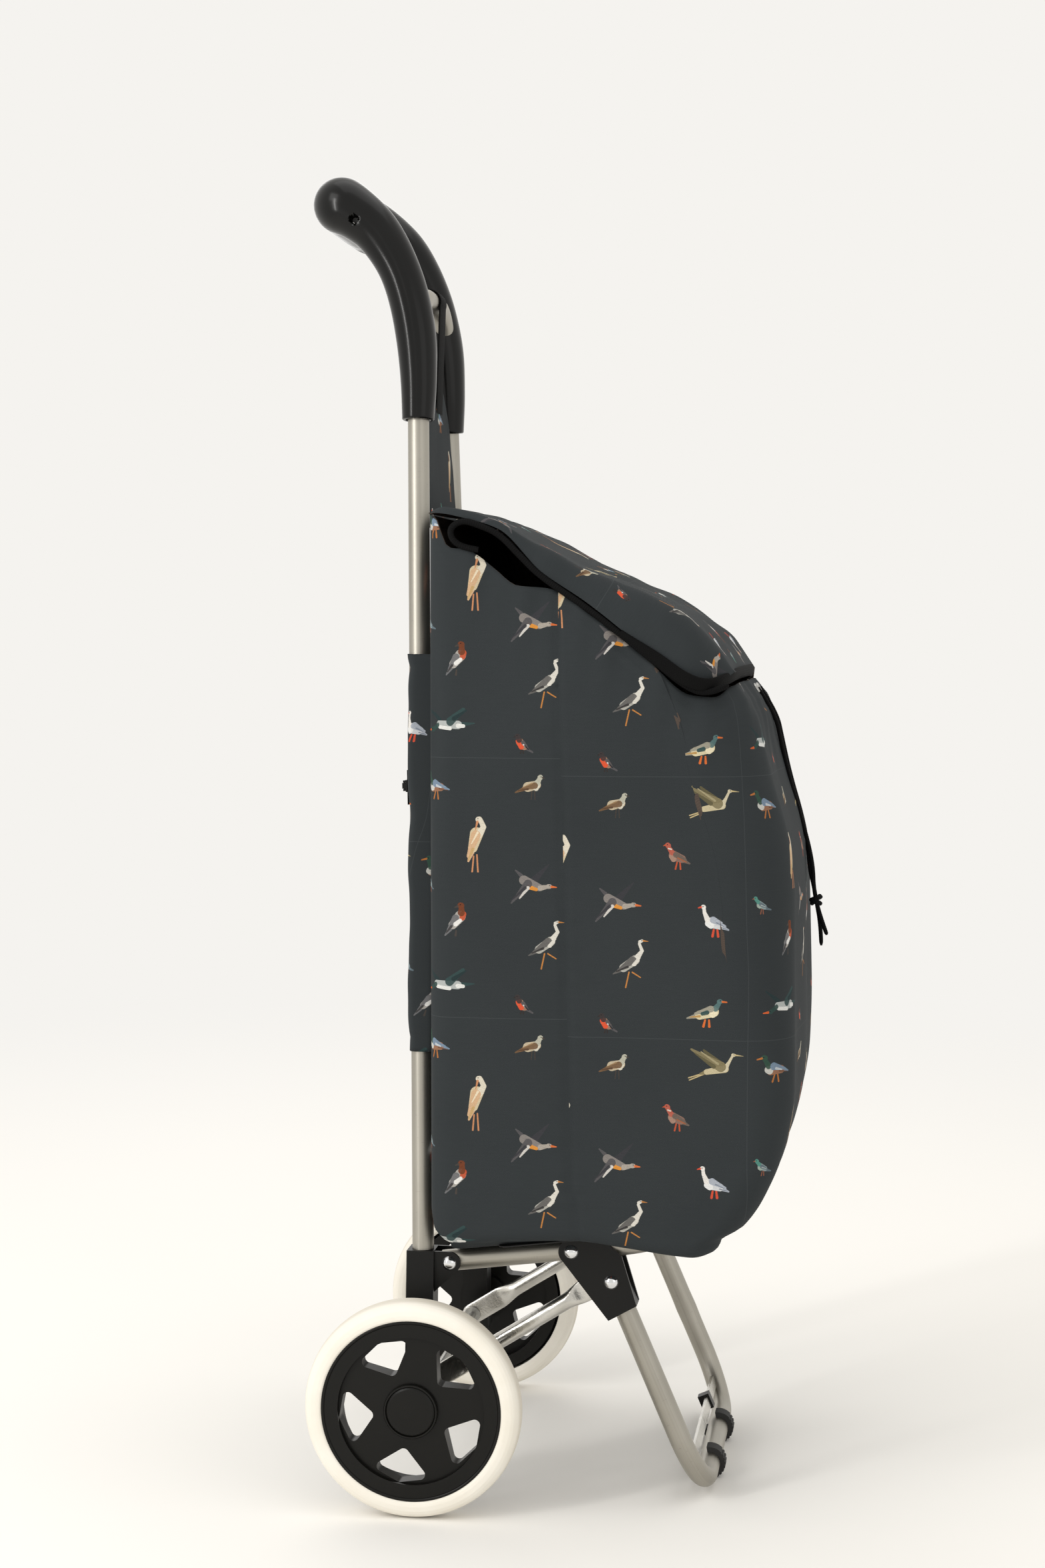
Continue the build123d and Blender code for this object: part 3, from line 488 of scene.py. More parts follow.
# Small water birds, each a few tapered strokes in millimetres from its middle:
# (x, y) to (x, y), start and end half-widths. The strokes are drawn in STROKES' order.
STROKES = ["leg", "leg_b", "tail", "wing_b", "body", "breast", "neck", "throat", "head", "beak", "wing", "bar",
           "quill", "eye"]
HUES = {"leg": "limb", "leg_b": "limb", "tail": "wing", "wing_b": "shade", "body": "body", "breast": "breast",
        "neck": "head", "throat": "head", "head": "head", "beak": "limb", "wing": "wing", "bar": "bar",
        "quill": "shade", "eye": "dot"}
HUE_ORDER = ["body", "breast", "wing", "head", "limb", "bar", "shade"]   # the order of the colours in hue
DOT = (22, 22, 24)
FLOCK = [
    # plover, turned right
    dict(at=(92.7, 167.3), body=(-2, 0, 4.5, 1.5, 3.5, 3), tail=(-4, -1, -11, -4, 1.6, .5),
         neck=(5, 3, 6.6, 6, 2.2, 1.5), head=(7, 6.8, 7.2, 7, 1.9, 1.8), beak=(8.8, 6.8, 10.6, 6.2, .6, .1),
         wing=(-6, -1.4, 3, 1, .8, 2.4), bar=(-6, -.6, 1, 2.6, .2, .5), breast=(4, -1, 5.6, 2, 1.8, 1.6),
         leg=(1, -3, .4, -9, .4, .3), leg_b=(3, -3, 3.2, -9, .4, .3), eye=(7.6, 7.3, 7.7, 7.3, .35, .35),
         quill=(-9, -2.6, -2, -1.6, .3, .8), hue=((190, 176, 150), (208, 202, 186), (112, 86, 62), (178, 176, 160),
         (70, 62, 56), (150, 122, 90), (88, 66, 50))),
    # crane on the wing, to the right
    dict(at=(164.9, 171), body=(-6, -6, 7, -3.5, 2, 2.7), tail=(-7, -6.4, -11, -7.6, 1.6, .5),
         wing_b=(-8, 9.5, 3, -1, .8, 3.4), wing=(-17, 10, 4, -2, .7, 3.8), quill=(-14, 7, -1, -2, .5, 1.6),
         bar=(-10, 8.4, 2, 0, .4, .8), neck=(7, -3.5, 10, 1.5, 2, 1), throat=(10, 1.5, 12.4, 6, 1, .8),
         head=(12.8, 6.6, 13.8, 6.6, 1.3, 1), beak=(14.4, 6.6, 20, 6, .6, .1), leg=(-8, -7, -19, -10.6, .5, .4),
         leg_b=(-8, -7.6, -18.4, -12.2, .5, .4), breast=(3, -4, 7, -4, 1.6, 1.6), eye=(13.4, 6.9, 13.5, 6.9, .3, .3),
         hue=((196, 184, 150), (206, 198, 172), (128, 118, 88), (202, 192, 164), (190, 172, 128), (160, 150, 118),
         (96, 90, 66))),
    # teal, turned left
    dict(at=(20.2, 168.5), body=(-3, -1.6, 6, -2, 4, 2.8), tail=(7, -2, 13, -3.6, 1.8, .5),
         neck=(-5, 1, -7.4, 5, 2.2, 1.6), head=(-8, 6.8, -8.6, 7.2, 2.2, 2), beak=(-10.2, 6.8, -13.4, 6, .8, .5),
         wing=(-1, .6, 10, -2, 2.8, .7), bar=(1, -1, 6, -2.2, .9, .5), breast=(-5.4, -1.6, -4, -2.4, 2.6, 2.6),
         leg=(0, -5, -1.8, -10.4, .55, .7), leg_b=(2.4, -5, 3.4, -10.4, .55, .7), quill=(4, -3.2, 12, -4, .5, .2),
         eye=(-8.8, 7.4, -8.9, 7.4, .35, .35), hue=((146, 106, 82), (196, 196, 190), (116, 136, 156), (52, 78, 66),
         (176, 110, 58), (186, 192, 196), (104, 74, 58))),
    # quail, turned left
    dict(at=(136.7, 131.8), body=(-2, 0, 4, -2.4, 3.4, 2.8), tail=(4, -3, 9.4, -5.6, 1.8, .6),
         neck=(-3, 2, -5.2, 5.4, 1.9, 1.5), head=(-5.8, 7, -6.2, 7.4, 1.9, 1.8), beak=(-7.8, 7.4, -9.4, 6.8, .6, .15),
         wing=(-.4, .6, 6.4, -3, 2, 1), bar=(-5.6, 5, -3.6, 4.4, .5, .5), breast=(-3.2, -.6, -2, -2.6, 2, 2),
         leg=(.6, -4.6, -.6, -9.6, .5, .6), leg_b=(2.6, -4.6, 3, -9.6, .5, .6), quill=(1, -1.6, 7, -4.6, .4, .4),
         eye=(-6.4, 7.8, -6.5, 7.8, .35, .35), hue=((134, 104, 92), (160, 128, 112), (104, 92, 84), (176, 92, 76),
         (186, 84, 54), (206, 198, 186), (158, 94, 62))),
    # tall wader at rest
    dict(at=(52.9, 126.2), body=(-2, -3, .6, 7, 3.4, 4.8), tail=(-3, -6, -5.2, -12.6, 2.2, .7),
         neck=(3.4, 8, 5.6, 12, 2.6, 2), throat=(5.4, 12.6, 3.6, 16.6, 1.9, 1.7), head=(2.6, 17.4, 1.8, 17.4, 2.1, 2),
         beak=(1.2, 15.8, -.4, 9, .9, .25), wing=(-5, -9, 0, 6, 1.4, 3.6), quill=(-5.4, -12, -2, -4, .4, 1.2),
         bar=(-3, 0, 1.4, 8, .3, .8), breast=(2, 6, 3.6, 9, 2.4, 2.2), leg=(-1.4, -9, -2.4, -20.4, .5, .6),
         leg_b=(1, -8, 1.8, -20.4, .5, .6), eye=(1.6, 18, 1.5, 18, .35, .35), hue=((206, 190, 158), (222, 216, 200),
         (204, 168, 132), (214, 206, 188), (198, 138, 98), (228, 214, 186), (190, 158, 108))),
    # goose on the wing, to the right
    dict(at=(93.9, 98.8), body=(-6, 1.6, 5, -3.6, 3.4, 2.6), tail=(-8, 5, -12, 8.6, 1.4, .5),
         wing_b=(0, 0, 12, 13, 3, .4), wing=(-3, -1, -15, -15, 3, .5), quill=(-5, -4, -15.4, -13.4, 1.2, .3),
         bar=(-3, -4, -9, -11.4, 1.3, .5), neck=(6, -4, 11, -3, 2, 1.3), head=(11.8, -2.8, 12.6, -2.8, 1.7, 1.6),
         beak=(14, -3, 17.4, -3.4, .9, .4), breast=(-2, -3.4, 3, -5, 1.6, 1.2), eye=(12.6, -2.2, 12.7, -2.2, .3, .3),
         hue=((132, 126, 122), (214, 142, 58), (84, 82, 84), (166, 158, 148), (208, 108, 58), (206, 202, 196),
         (58, 58, 62))),
    # little bird, turned left
    dict(at=(11.5, 96.6), body=(-1, .4, 3, -1.6, 2.4, 1.8), tail=(4, -2.6, 8.6, -3.8, 1, .5),
         neck=(-2, 2, -3.6, 3.6, 1.5, 1.2), head=(-4, 4.6, -4.2, 4.8, 1.5, 1.4), beak=(-5.4, 4.6, -6.8, 4.2, .4, .1),
         wing=(0, .4, 5, -2.2, 1.5, .6), bar=(0, -.2, 4, -1.6, .3, .2), breast=(-2, -.4, -1, -1.2, 1.4, 1.4),
         leg=(.4, -3, -.4, -6.4, .3, .4), leg_b=(1.6, -3, 1.8, -6.4, .3, .4), eye=(-4.4, 5, -4.5, 5, .3, .3),
         hue=((142, 158, 160), (156, 170, 160), (96, 110, 118), (84, 140, 128), (150, 92, 70), (176, 186, 186),
         (70, 84, 92))),
    # pale goose, turned left
    dict(at=(163.6, 85.4), body=(-2, -1, 5, -3, 3.8, 2.8), tail=(6, -3.6, 11.4, -6, 1.8, .5),
         neck=(-4.4, 1, -6.6, 6, 2, 1.3), throat=(-6.6, 6, -7, 9, 1.3, 1.2), head=(-7.2, 10, -7.6, 10.2, 1.6, 1.5),
         beak=(-9, 10, -11, 9.4, .7, .4), wing=(-.4, 1, 9, -3.4, 2.4, .8), bar=(2, -1, 8, -3.6, .5, .3),
         breast=(-4, -1.6, -2, -3, 2.2, 2.2), leg=(0, -6, -.8, -10.6, .7, .9), leg_b=(2.6, -6, 3.2, -10.6, .7, .9),
         eye=(-7.6, 10.4, -7.7, 10.4, .35, .35), quill=(5, -4.2, 10.6, -5.6, .4, .2), hue=((206, 208, 210),
         (224, 224, 222), (164, 170, 180), (226, 222, 216), (206, 80, 56), (128, 136, 148), (120, 126, 138))),
    # wigeon standing up, turned right
    dict(at=(39.4, 71.4), body=(-3, -4, 2.4, 2.4, 3, 4), tail=(-5, -7, -8.6, -11.6, 1.6, .5),
         neck=(3.2, 5, 3.4, 8, 2.6, 2), head=(3, 10, 2.6, 10.2, 2.4, 2.2), beak=(.6, 9.6, -1.4, 8.8, .8, .4),
         wing=(-6.4, -7.4, -1, 1, .8, 2.6), bar=(-1, -3.4, 2.4, -.6, 1.6, 1.3), breast=(4, 1.4, 4.6, 4, 2.1, 2.2),
         quill=(-7.6, -9.6, -4, -5, .4, 1), leg=(-.6, -8, -1, -11.6, .5, .8), eye=(2.6, 10.8, 2.5, 10.8, .35, .35),
         hue=((168, 164, 158), (186, 82, 50), (108, 108, 110), (112, 62, 40), (72, 66, 62), (228, 226, 222),
         (64, 62, 62))),
    # heron stepping to the right
    dict(at=(103.9, 53.6), body=(-5, -3, 3.4, 3, 3, 3.3), tail=(-7, -4.6, -12.4, -7.4, 1.4, .4),
         neck=(4.4, 4, 8.4, 9.6, 2.2, 1.2), throat=(8.4, 9.6, 6.4, 14.6, 1.2, 1), head=(6.8, 16, 8.4, 16.8, 1.2, 1),
         beak=(9.2, 16.8, 12.8, 16.4, .6, .15), wing=(-9, -4.8, 1.6, 2.6, .7, 2.9), bar=(2, -.6, 6.4, 4.6, .9, .9),
         quill=(-10, -5.6, -2, -2.2, .4, .9), breast=(2.8, 0, 5, 3, 1.6, 1.6), leg=(-1, -6, -3.4, -17, .5, .5),
         leg_b=(1.4, -6, 7.2, -9.6, .5, .4), eye=(8, 16.9, 8.1, 16.9, .3, .3), hue=((172, 170, 162), (210, 206, 196),
         (96, 94, 92), (216, 212, 202), (188, 126, 66), (214, 210, 200), (56, 54, 54))),
    # long-winged duck gliding, to the left
    dict(at=(31.7, 26.2), body=(-9, -2, 8, -2.4, 2.6, 3), tail=(10, -2, 20, -1.2, 1.8, .4),
         wing_b=(-8, 1, -19, 9, 2, .4), wing=(2, 0, 12, 8.6, 3.2, 1.4), quill=(5, 2, 14, 8, 1.6, .6),
         bar=(8, -3, 12, -3.2, 1.6, 1.3), neck=(-10, -2.6, -14, -5, 1.7, 1.4),
         head=(-15, -5.6, -15.8, -5.8, 1.7, 1.5), beak=(-17.4, -6, -21, -6.4, .9, .4),
         breast=(-8, -4, 2, -5, 1.3, 1.3), eye=(-15.8, -5.4, -15.9, -5.4, .3, .3), hue=((176, 180, 178),
         (220, 220, 216), (52, 72, 72), (48, 70, 66), (206, 96, 50), (222, 222, 218), (40, 54, 56))),
    # robin, turned left
    dict(at=(86.6, 10.8), body=(-1.6, 1, 1.6, -2.4, 2.8, 2.3), tail=(2.6, -3.4, 7.6, -6.2, 1, .6),
         neck=(-2, 2.4, -3, 3.8, 2, 1.8), head=(-3.2, 5, -3.4, 5.2, 1.9, 1.8), beak=(-5.2, 4.8, -6.4, 4.4, .5, .1),
         wing=(.8, .6, 4, -3.4, 1.5, .7), bar=(1, -.8, 2.4, -2.4, .5, .3), breast=(-2.6, 1.6, -.6, -2.4, 2, 1.9),
         leg=(-.4, -4.6, -1.2, -7, .35, .5), leg_b=(.8, -4.6, .8, -7, .35, .5), eye=(-3.6, 5.6, -3.7, 5.6, .3, .3),
         quill=(2, -1.6, 4.6, -4.2, .5, .4), hue=((150, 116, 96), (216, 84, 52), (84, 82, 84), (60, 54, 54),
         (52, 46, 44), (206, 204, 200), (44, 42, 44))),
    # drake standing, turned right
    dict(at=(158.7, 20.5), body=(-5, -2.4, 5, .4, 3.2, 3.8), tail=(-7, -3, -14, -4.8, 1.8, .5),
         neck=(6.4, 2.6, 8.8, 6, 2.2, 1.4), head=(9.2, 7.6, 9.8, 7.8, 1.8, 1.7), beak=(11.4, 7.6, 14.4, 7.4, .7, .45),
         wing=(-8, -1.4, 3, 2.2, .9, 2.4), bar=(-3, -1.4, .4, -.4, 1.3, 1.6), breast=(4.4, -1.6, 5.4, -.4, 2.4, 2.6),
         quill=(-12, -4, -5, -3.2, .3, .9), leg=(-1, -5.8, -2.2, -10.4, .6, .9), leg_b=(1.8, -5.8, 2, -10.4, .6, .9),
         eye=(9.8, 8.4, 9.9, 8.4, .35, .35), hue=((214, 202, 166), (226, 216, 186), (150, 146, 132), (84, 112, 112),
         (214, 110, 54), (46, 74, 74), (178, 140, 84))),
]
REPEAT = 187.6
COLUMNS = (66.0, 120.0)
ROWS = {0: [(0, 10), (48.2, 8), (86.8, 6), (104.4, 4), (151.3, 2)], 1: [(0, 11), (27.4, 9), (78, 5), (135, 0)],
        2: [(0, 12), (53.1, 7), (109.3, 3), (150.9, 1)]}


def flock_print(f, uv, ground, wear):
    """Birds on the cloth. The cloth repeats every REPEAT mm; each repeat has three columns of cells, and a chain
    of ramps with flat steps gives each cell its bird's strokes and hues. A stroke is the set of points nearer
    to a line than a half-width that changes evenly along it."""
    tile = f.node("ShaderNodeVectorMath", {"operation": "FRACTION"}, {0: f.node(
        "ShaderNodeVectorMath", {"operation": "SCALE"}, {0: uv, "Scale": 1000 / REPEAT})})
    u, v, _ = f.split(tile)
    cell = (u.over(COLUMNS[0] / REPEAT) + u.over(COLUMNS[1] / REPEAT) + v * 0.999) / 3
    cells = [((column + start / REPEAT) / 3, bird) for column, rows in ROWS.items() for start, bird in rows]

    def steps(values, out=0):
        return f.node("ShaderNodeValToRGB", {"steps": "CONSTANT", "stops": [
            (at, tuple(values[bird])) for at, bird in cells]}, {0: cell}, out=out)

    place = f.node("ShaderNodeCombineXYZ", None, {0: u, 1: v})
    feathers = f.noise(f.stretched(uv, (2600.0, 1100.0, 1.0)), 1.0, 3.0, 0.6)
    barring = f.noise(f.stretched(uv, (420.0, 1500.0, 1.0)), 1.0, 2.0)
    hues = {}
    for key in sorted(set(HUES.values())):
        found = [dict(zip(HUE_ORDER, bird["hue"])).get(key, DOT) for bird in FLOCK]
        hues[key] = f.mixed(((feathers * 1.3 - 0.2) * 0.7 + barring * 0.3).held(),
                            steps([(*(0.52 * np.array(tint(*c))), 1) for c in found]),
                            steps([(*np.minimum(1.3 * np.array(tint(*c)), 1), 1) for c in found]))
    border = (u.below(0.002, 0.003) + v.below(0.002, 0.003)).held()
    colour = f.mixed(border * 0.3, ground, tint(84, 88, 90))
    for stroke in STROKES:
        starts, stops = [], []
        for bird in FLOCK:
            line = np.array(bird.get(stroke, (0, 0, .1, 0, 0, 0)), float)
            at = np.array(bird["at"], float)
            hidden = stroke not in bird
            starts.append((*((at + line[:2]) / REPEAT), 0, 0 if hidden else line[4] / REPEAT))
            stops.append((*((at + line[2:4] + (0.02, 0)) / REPEAT), 0, 0 if hidden else line[5] / REPEAT))
        first, last = steps(starts), steps(stops)
        wide_a = Tone(f, first.socket.node.outputs[1])
        wide_b = Tone(f, last.socket.node.outputs[1])

        def vector(operation, a, b, out=0):
            key = "Scale" if operation == "SCALE" else 1
            return f.node("ShaderNodeVectorMath", {"operation": operation}, {0: a, key: b}, out=out)

        run, off = vector("SUBTRACT", last, first), vector("SUBTRACT", place, first)
        share = (vector("DOT_PRODUCT", off, run, "Value") / vector("DOT_PRODUCT", run, run, "Value")).held()
        gap = f.node("ShaderNodeVectorMath", {"operation": "LENGTH"},
                     {0: vector("SUBTRACT", off, vector("SCALE", run, share))}, out="Value")
        wide = wide_a + (wide_b - wide_a) * share
        inside = ((wide - gap) * (REPEAT / 0.22) + 0.5).held() * wide.over(0.00005)
        colour = f.mixed(inside * wear, colour, hues[HUES[stroke]])
    return colour


def printed_cloth():
    """Slate polyester with a fine plain weave, broad random patches a little lighter and duller, and the printed birds.
    """
    f = Finish("printed_cloth", tint(60, 65, 68), 0.78, 0.0, Specular_IOR_Level=0.12)
    uv = f.cloth_place()
    weave = woven(f, uv)
    slub = f.noise(f.stretched(uv, (60.0, 900.0, 1.0)), 1.0, 3.0)
    cloud = f.noise(uv, 9.0, 4.0)
    ground = f.mixed((cloud * 0.55 + slub * 0.25 + weave * 0.25).held(), tint(39, 43, 45), tint(53, 57, 59))
    f.give(**{"Base Color": flock_print(f, uv, ground, 0.9 + weave * 0.1),
              "Roughness": 0.70 + cloud * 0.12 + weave * 0.06})
    f.bumped(weave * 0.5 + slub * 0.5, 0.00012, 0.5)
    return f.material


def plain_cloth(name, dark, light, pitch, rough=0.85):
    """Undecorated woven cloth or tape."""
    f = Finish(name, light, rough, 0.0, Specular_IOR_Level=0.12)
    uv = f.cloth_place()
    weave = woven(f, uv, pitch)
    cloud = f.noise(f.where(), 40.0, 4.0)
    f.give(**{"Base Color": f.mixed((weave * 0.5 + cloud * 0.5).held(), dark, light),
              "Roughness": rough - 0.08 + weave * 0.1})
    f.bumped(weave, 0.0002, 0.6)
    return f.material


def braid():
    """Black braided cord: two sets of strands wind round it and cross in diamonds."""
    f = Finish("braid", tint(16, 16, 17), 0.7, 0.0, Specular_IOR_Level=0.1)
    u, v, _ = f.split(f.cloth_place())
    turn = 2 * math.pi
    lay = ((u * 640.0 + v * 300.0) * turn).wave() * ((u * 640.0 - v * 300.0) * turn).wave()
    lay = lay * 0.5 + 0.5
    f.give(**{"Base Color": f.mixed(lay, tint(3, 3, 3), tint(15, 15, 16)), "Roughness": 0.6 + lay * 0.2})
    f.bumped(lay, 0.0005, 0.7)
    return f.material


TUBE = brushed_tube()
PRESSED = pressed_tube()
CHROME = plated("polished_rivet", tint(206, 207, 208), tint(238, 239, 240), 0.06, 300.0)
ZINC = plated("zinc_steel", tint(140, 139, 136), tint(196, 195, 190), 0.28, 500.0)
GLOSS = moulding("handle_gloss", tint(3, 3, 3), tint(9, 9, 8), 0.2, 900.0, 0.00002, 0.12)
SATIN = moulding("bracket_satin", tint(9, 9, 8), tint(17, 17, 15), 0.36, 1400.0, 0.00008)
HUB = moulding("hub_satin", tint(9, 9, 7), tint(17, 16, 13), 0.32, 1200.0, 0.00006)
NYLON = moulding("bush_nylon", tint(190, 186, 176), tint(214, 210, 200), 0.5, 900.0, 0.00005)
RUBBER = moulding("foot_rubber", tint(38, 38, 38), tint(58, 57, 56), 0.62, 800.0, 0.0001)
BOARD = moulding("base_board", tint(30, 30, 30), tint(44, 44, 43), 0.6, 700.0, 0.0001)
FOAM = tyre_foam()
PRINT = printed_cloth()
LINING = plain_cloth("brown_lining", tint(66, 57, 51), tint(86, 75, 68), 0.0006)
WEBBING = plain_cloth("black_webbing", tint(3, 3, 3), tint(13, 13, 13), 0.0009)
BRAID = braid()

FINISH_OF = {
    "rivet_chrome": CHROME, "steel": ZINC, "frame_tube": PRESSED, "handle_gloss": GLOSS, "black_moulding": SATIN,
    "bush_nylon": NYLON, "foot_rubber": RUBBER, "board_plastic": BOARD, "tyre_cream": FOAM, "bag_print": PRINT,
    "bag_lining": LINING, "black_webbing": WEBBING, "black_cord": BRAID,
}
for row in frame["record"]["subparts"]:
    mesh = frame["nodes"][row["node"]].data
    mesh.materials.clear()
    mesh.materials.append(HUB if row["node"].startswith("hub_") else FINISH_OF[row["material_slot"]])


# ---------------------------------------------------------------- camera and light

camera = bpy.data.objects.new("camera", bpy.data.cameras.new("camera"))
bpy.context.scene.collection.objects.link(camera)
camera.data.lens = 61.6
camera.location = (0.351 + AXLE_X, -2.063, 0.644)
camera.rotation_euler = (math.pi / 2 - 0.0569, 0, 0.142)
bpy.context.scene.camera = camera


def lamp(name, spot, aim, size, watts, colour=(1, 1, 1)):
    light = bpy.data.lights.new(name, "AREA")
    light.shape, light.size, light.size_y = "RECTANGLE", size[0], size[1]
    light.energy, light.color = watts, colour
    made = bpy.data.objects.new(name, light)
    bpy.context.scene.collection.objects.link(made)
    made.location = spot
    way = np.subtract(aim, spot)
    flat = math.hypot(way[0], way[1])
    made.rotation_euler = (math.atan2(flat, -way[2]), 0, math.atan2(-way[0], way[1]))


lamp("key", (-1.7, -1.6, 2.3), (0, 0, 0.5), (1.2, 1.2), 10, (1.0, 0.985, 0.96))
lamp("fill", (2.2, -2.2, 1.2), (0, 0, 0.5), (1.6, 1.8), 4, (1.0, 0.99, 0.98))
lamp("rim", (-0.9, 2.4, 1.6), (0, 0, 0.6), (1.4, 1.6), 7)
lamp("top", (0.2, 0.1, 2.8), (0, 0, 0.3), (2.0, 2.0), 9)
lamp("strip", (-1.5, -1.7, 1.2), (-0.1, 0, 0.8), (0.16, 1.5), 17, (1.0, 0.99, 0.97))

world = bpy.data.worlds.new("studio")
bpy.context.scene.world = world
world.use_nodes = True
world.node_tree.nodes["Background"].inputs[0].default_value = (*tint(245, 243, 239), 1)
bpy.context.scene.view_settings.view_transform = "Standard"

floor_mesh = bpy.data.meshes.new("floor")
turn = turns(96)
floor_mesh.from_pydata(np.stack([40 * np.cos(turn), 40 * np.sin(turn), 0 * turn], 1), [], [list(range(96))])
floor = bpy.data.objects.new("floor", floor_mesh)
bpy.context.scene.collection.objects.link(floor)
paper = Finish("paper", tint(240, 238, 233), 0.95, 0.0, Emission_Strength=1.0, Specular_IOR_Level=0.0)
x, y, _ = paper.split(paper.where())
far = (((x * x + y * y) ** 0.5 - 0.5) / 2.2).held()
far = far * far * (3 - 2 * far)
grain = paper.noise(paper.where(), 2.0, 3.0)
near = paper.mixed(grain, tint(240, 238, 234), tint(243, 241, 237))
paper.give(**{"Base Color": paper.mixed(far, near, (0, 0, 0)),
              "Emission Color": paper.mixed(far, (0, 0, 0), tint(245, 243, 239))})
floor_mesh.materials.append(paper.material)


# ---------------------------------------------------------------- cords

SQUASHED = []
TAILS = {
    "right": [(239.2, -15.0, 601.1), (252.3, -14.6, 582.0), (256.9, -13.6, 561.0), (263.0, -12.2, 534.0),
              (272.9, -9.8, 501.0), (279.0, -6.6, 478.0), (281.6, -3.6, 462.0), (282.0, -2.2, 449.0),
              (284.2, -1.9, 436.0), (289.2, -2.4, 420.0), (292.4, -3.4, 411.5)],
    "left": [(239.2, 15.0, 601.1), (252.3, 14.6, 582.0), (256.9, 13.6, 561.0), (263.0, 12.2, 534.0),
             (272.9, 9.8, 501.0), (277.2, 6.8, 478.0), (279.0, 4.0, 460.0), (281.9, 2.2, 449.0),
             (284.2, 1.9, 436.0), (287.4, 3.0, 418.0), (287.9, 4.6, 402.5)],
}


def route(name, points):
    """The line of a cord: a spline with the route's points as its control points, read as a chain of points."""
    line = bpy.data.curves.new(name, "CURVE")
    line.dimensions = "3D"
    line.resolution_u = 12
    spline = line.splines.new("NURBS")
    spline.points.add(len(points) - 1)
    for knot, at in zip(spline.points, place(points)):
        knot.co = (*at, 1)
    spline.order_u = 3
    spline.use_endpoint_u = True
    held = bpy.data.objects.new(name + "_line", line)
    bpy.context.scene.collection.objects.link(held)
    bpy.context.view_layer.update()
    mesh = bpy.data.meshes.new_from_object(held)
    chain = np.array([v.co for v in mesh.vertices]) - (AXLE_X, 0, 0)
    bpy.data.objects.remove(held)
    bpy.data.meshes.remove(mesh)
    return chain * 1000


def cord_tube(name, chain, radius, body, nodes):
    """A braided cord: a round ring carried along its line, its ends drawn in to a melted tip."""
    sizes = np.ones(len(chain)) * radius
    sizes[0], sizes[-1], sizes[-2] = radius * 0.9, radius * 0.5, radius * 0.92
    part = carried(chain, circle(20), sizes)
    return piece(name, shut([part]), BRAID, body, nodes, 60)


KNOT = np.array((283.7, 0.0, 438.0))


def knot():
    """The tied lump: two turns of cord wound round one another, each a tilted ring about the middle."""
    turn = turns(48)
    rings = []
    for tilt, wide, rise in ((0.5, 3.5, 1.2), (-0.6, 3.3, -1.3), (1.4, 2.9, 0.2)):
        path = np.stack([wide * np.cos(turn), wide * np.sin(turn), rise + wide * tilt * np.cos(turn) * 0.7], 1)
        path = np.concatenate([path, path[:1]]) + KNOT
        rings.append(carried(path, circle(14), np.full(len(path), 1.7)))
    return rings


knot_piece = piece("drawcord_knot_tied", shut(knot()), BRAID, "frame", ["drawcord_knot"], 60)
SQUASHED.append(knot_piece)
for name in SIDES:
    line = route(f"tail_{name}", TAILS[name])
    tail = cord_tube(f"cord_tail_{name}_braid", line, CORD_R, "frame", [f"cord_tail_{name}"])
    SQUASHED.append(tail)


# ---------------------------------------------------------------- bag

HALF = 165.0
FRONT_Z = [190, 194, 203.5, 228, 262, 306, 360, 440, 478, 500, 533, 560, 580, 617, 626]
FRONT_X = [219, 222, 238, 254, 269, 276, 277.5, 277.5, 274.5, 270, 260.5, 254.5, 250, 227, 221]
EDGE_X = [0, 10, 15, 19, 23, 30, 38, 46, 60, 76, 98, 127, 172, 199, 214, 234, 300]
EDGE_Z = [728, 727.5, 726, 718, 707, 703, 703, 699, 688, 676.5, 674.5, 656.5, 621, 599, 597, 607.5, 607.5]
BASE_X = [10, 14, 24, 35, 60, 118, 155, 189, 205, 222, 245]
BASE_Z = [214, 204, 199, 198.6, 201, 203, 199, 194.5, 193.5, 195, 197]
SEAM_Z = [200, 209.4, 222.9, 301.9, 400.2, 473.7, 532.9, 608.2, 622.8, 649.4, 690]
SEAM_X = [120, 119.1, 114.6, 112.8, 109.5, 108.2, 105.7, 105.1, 106.8, 113.2, 118]


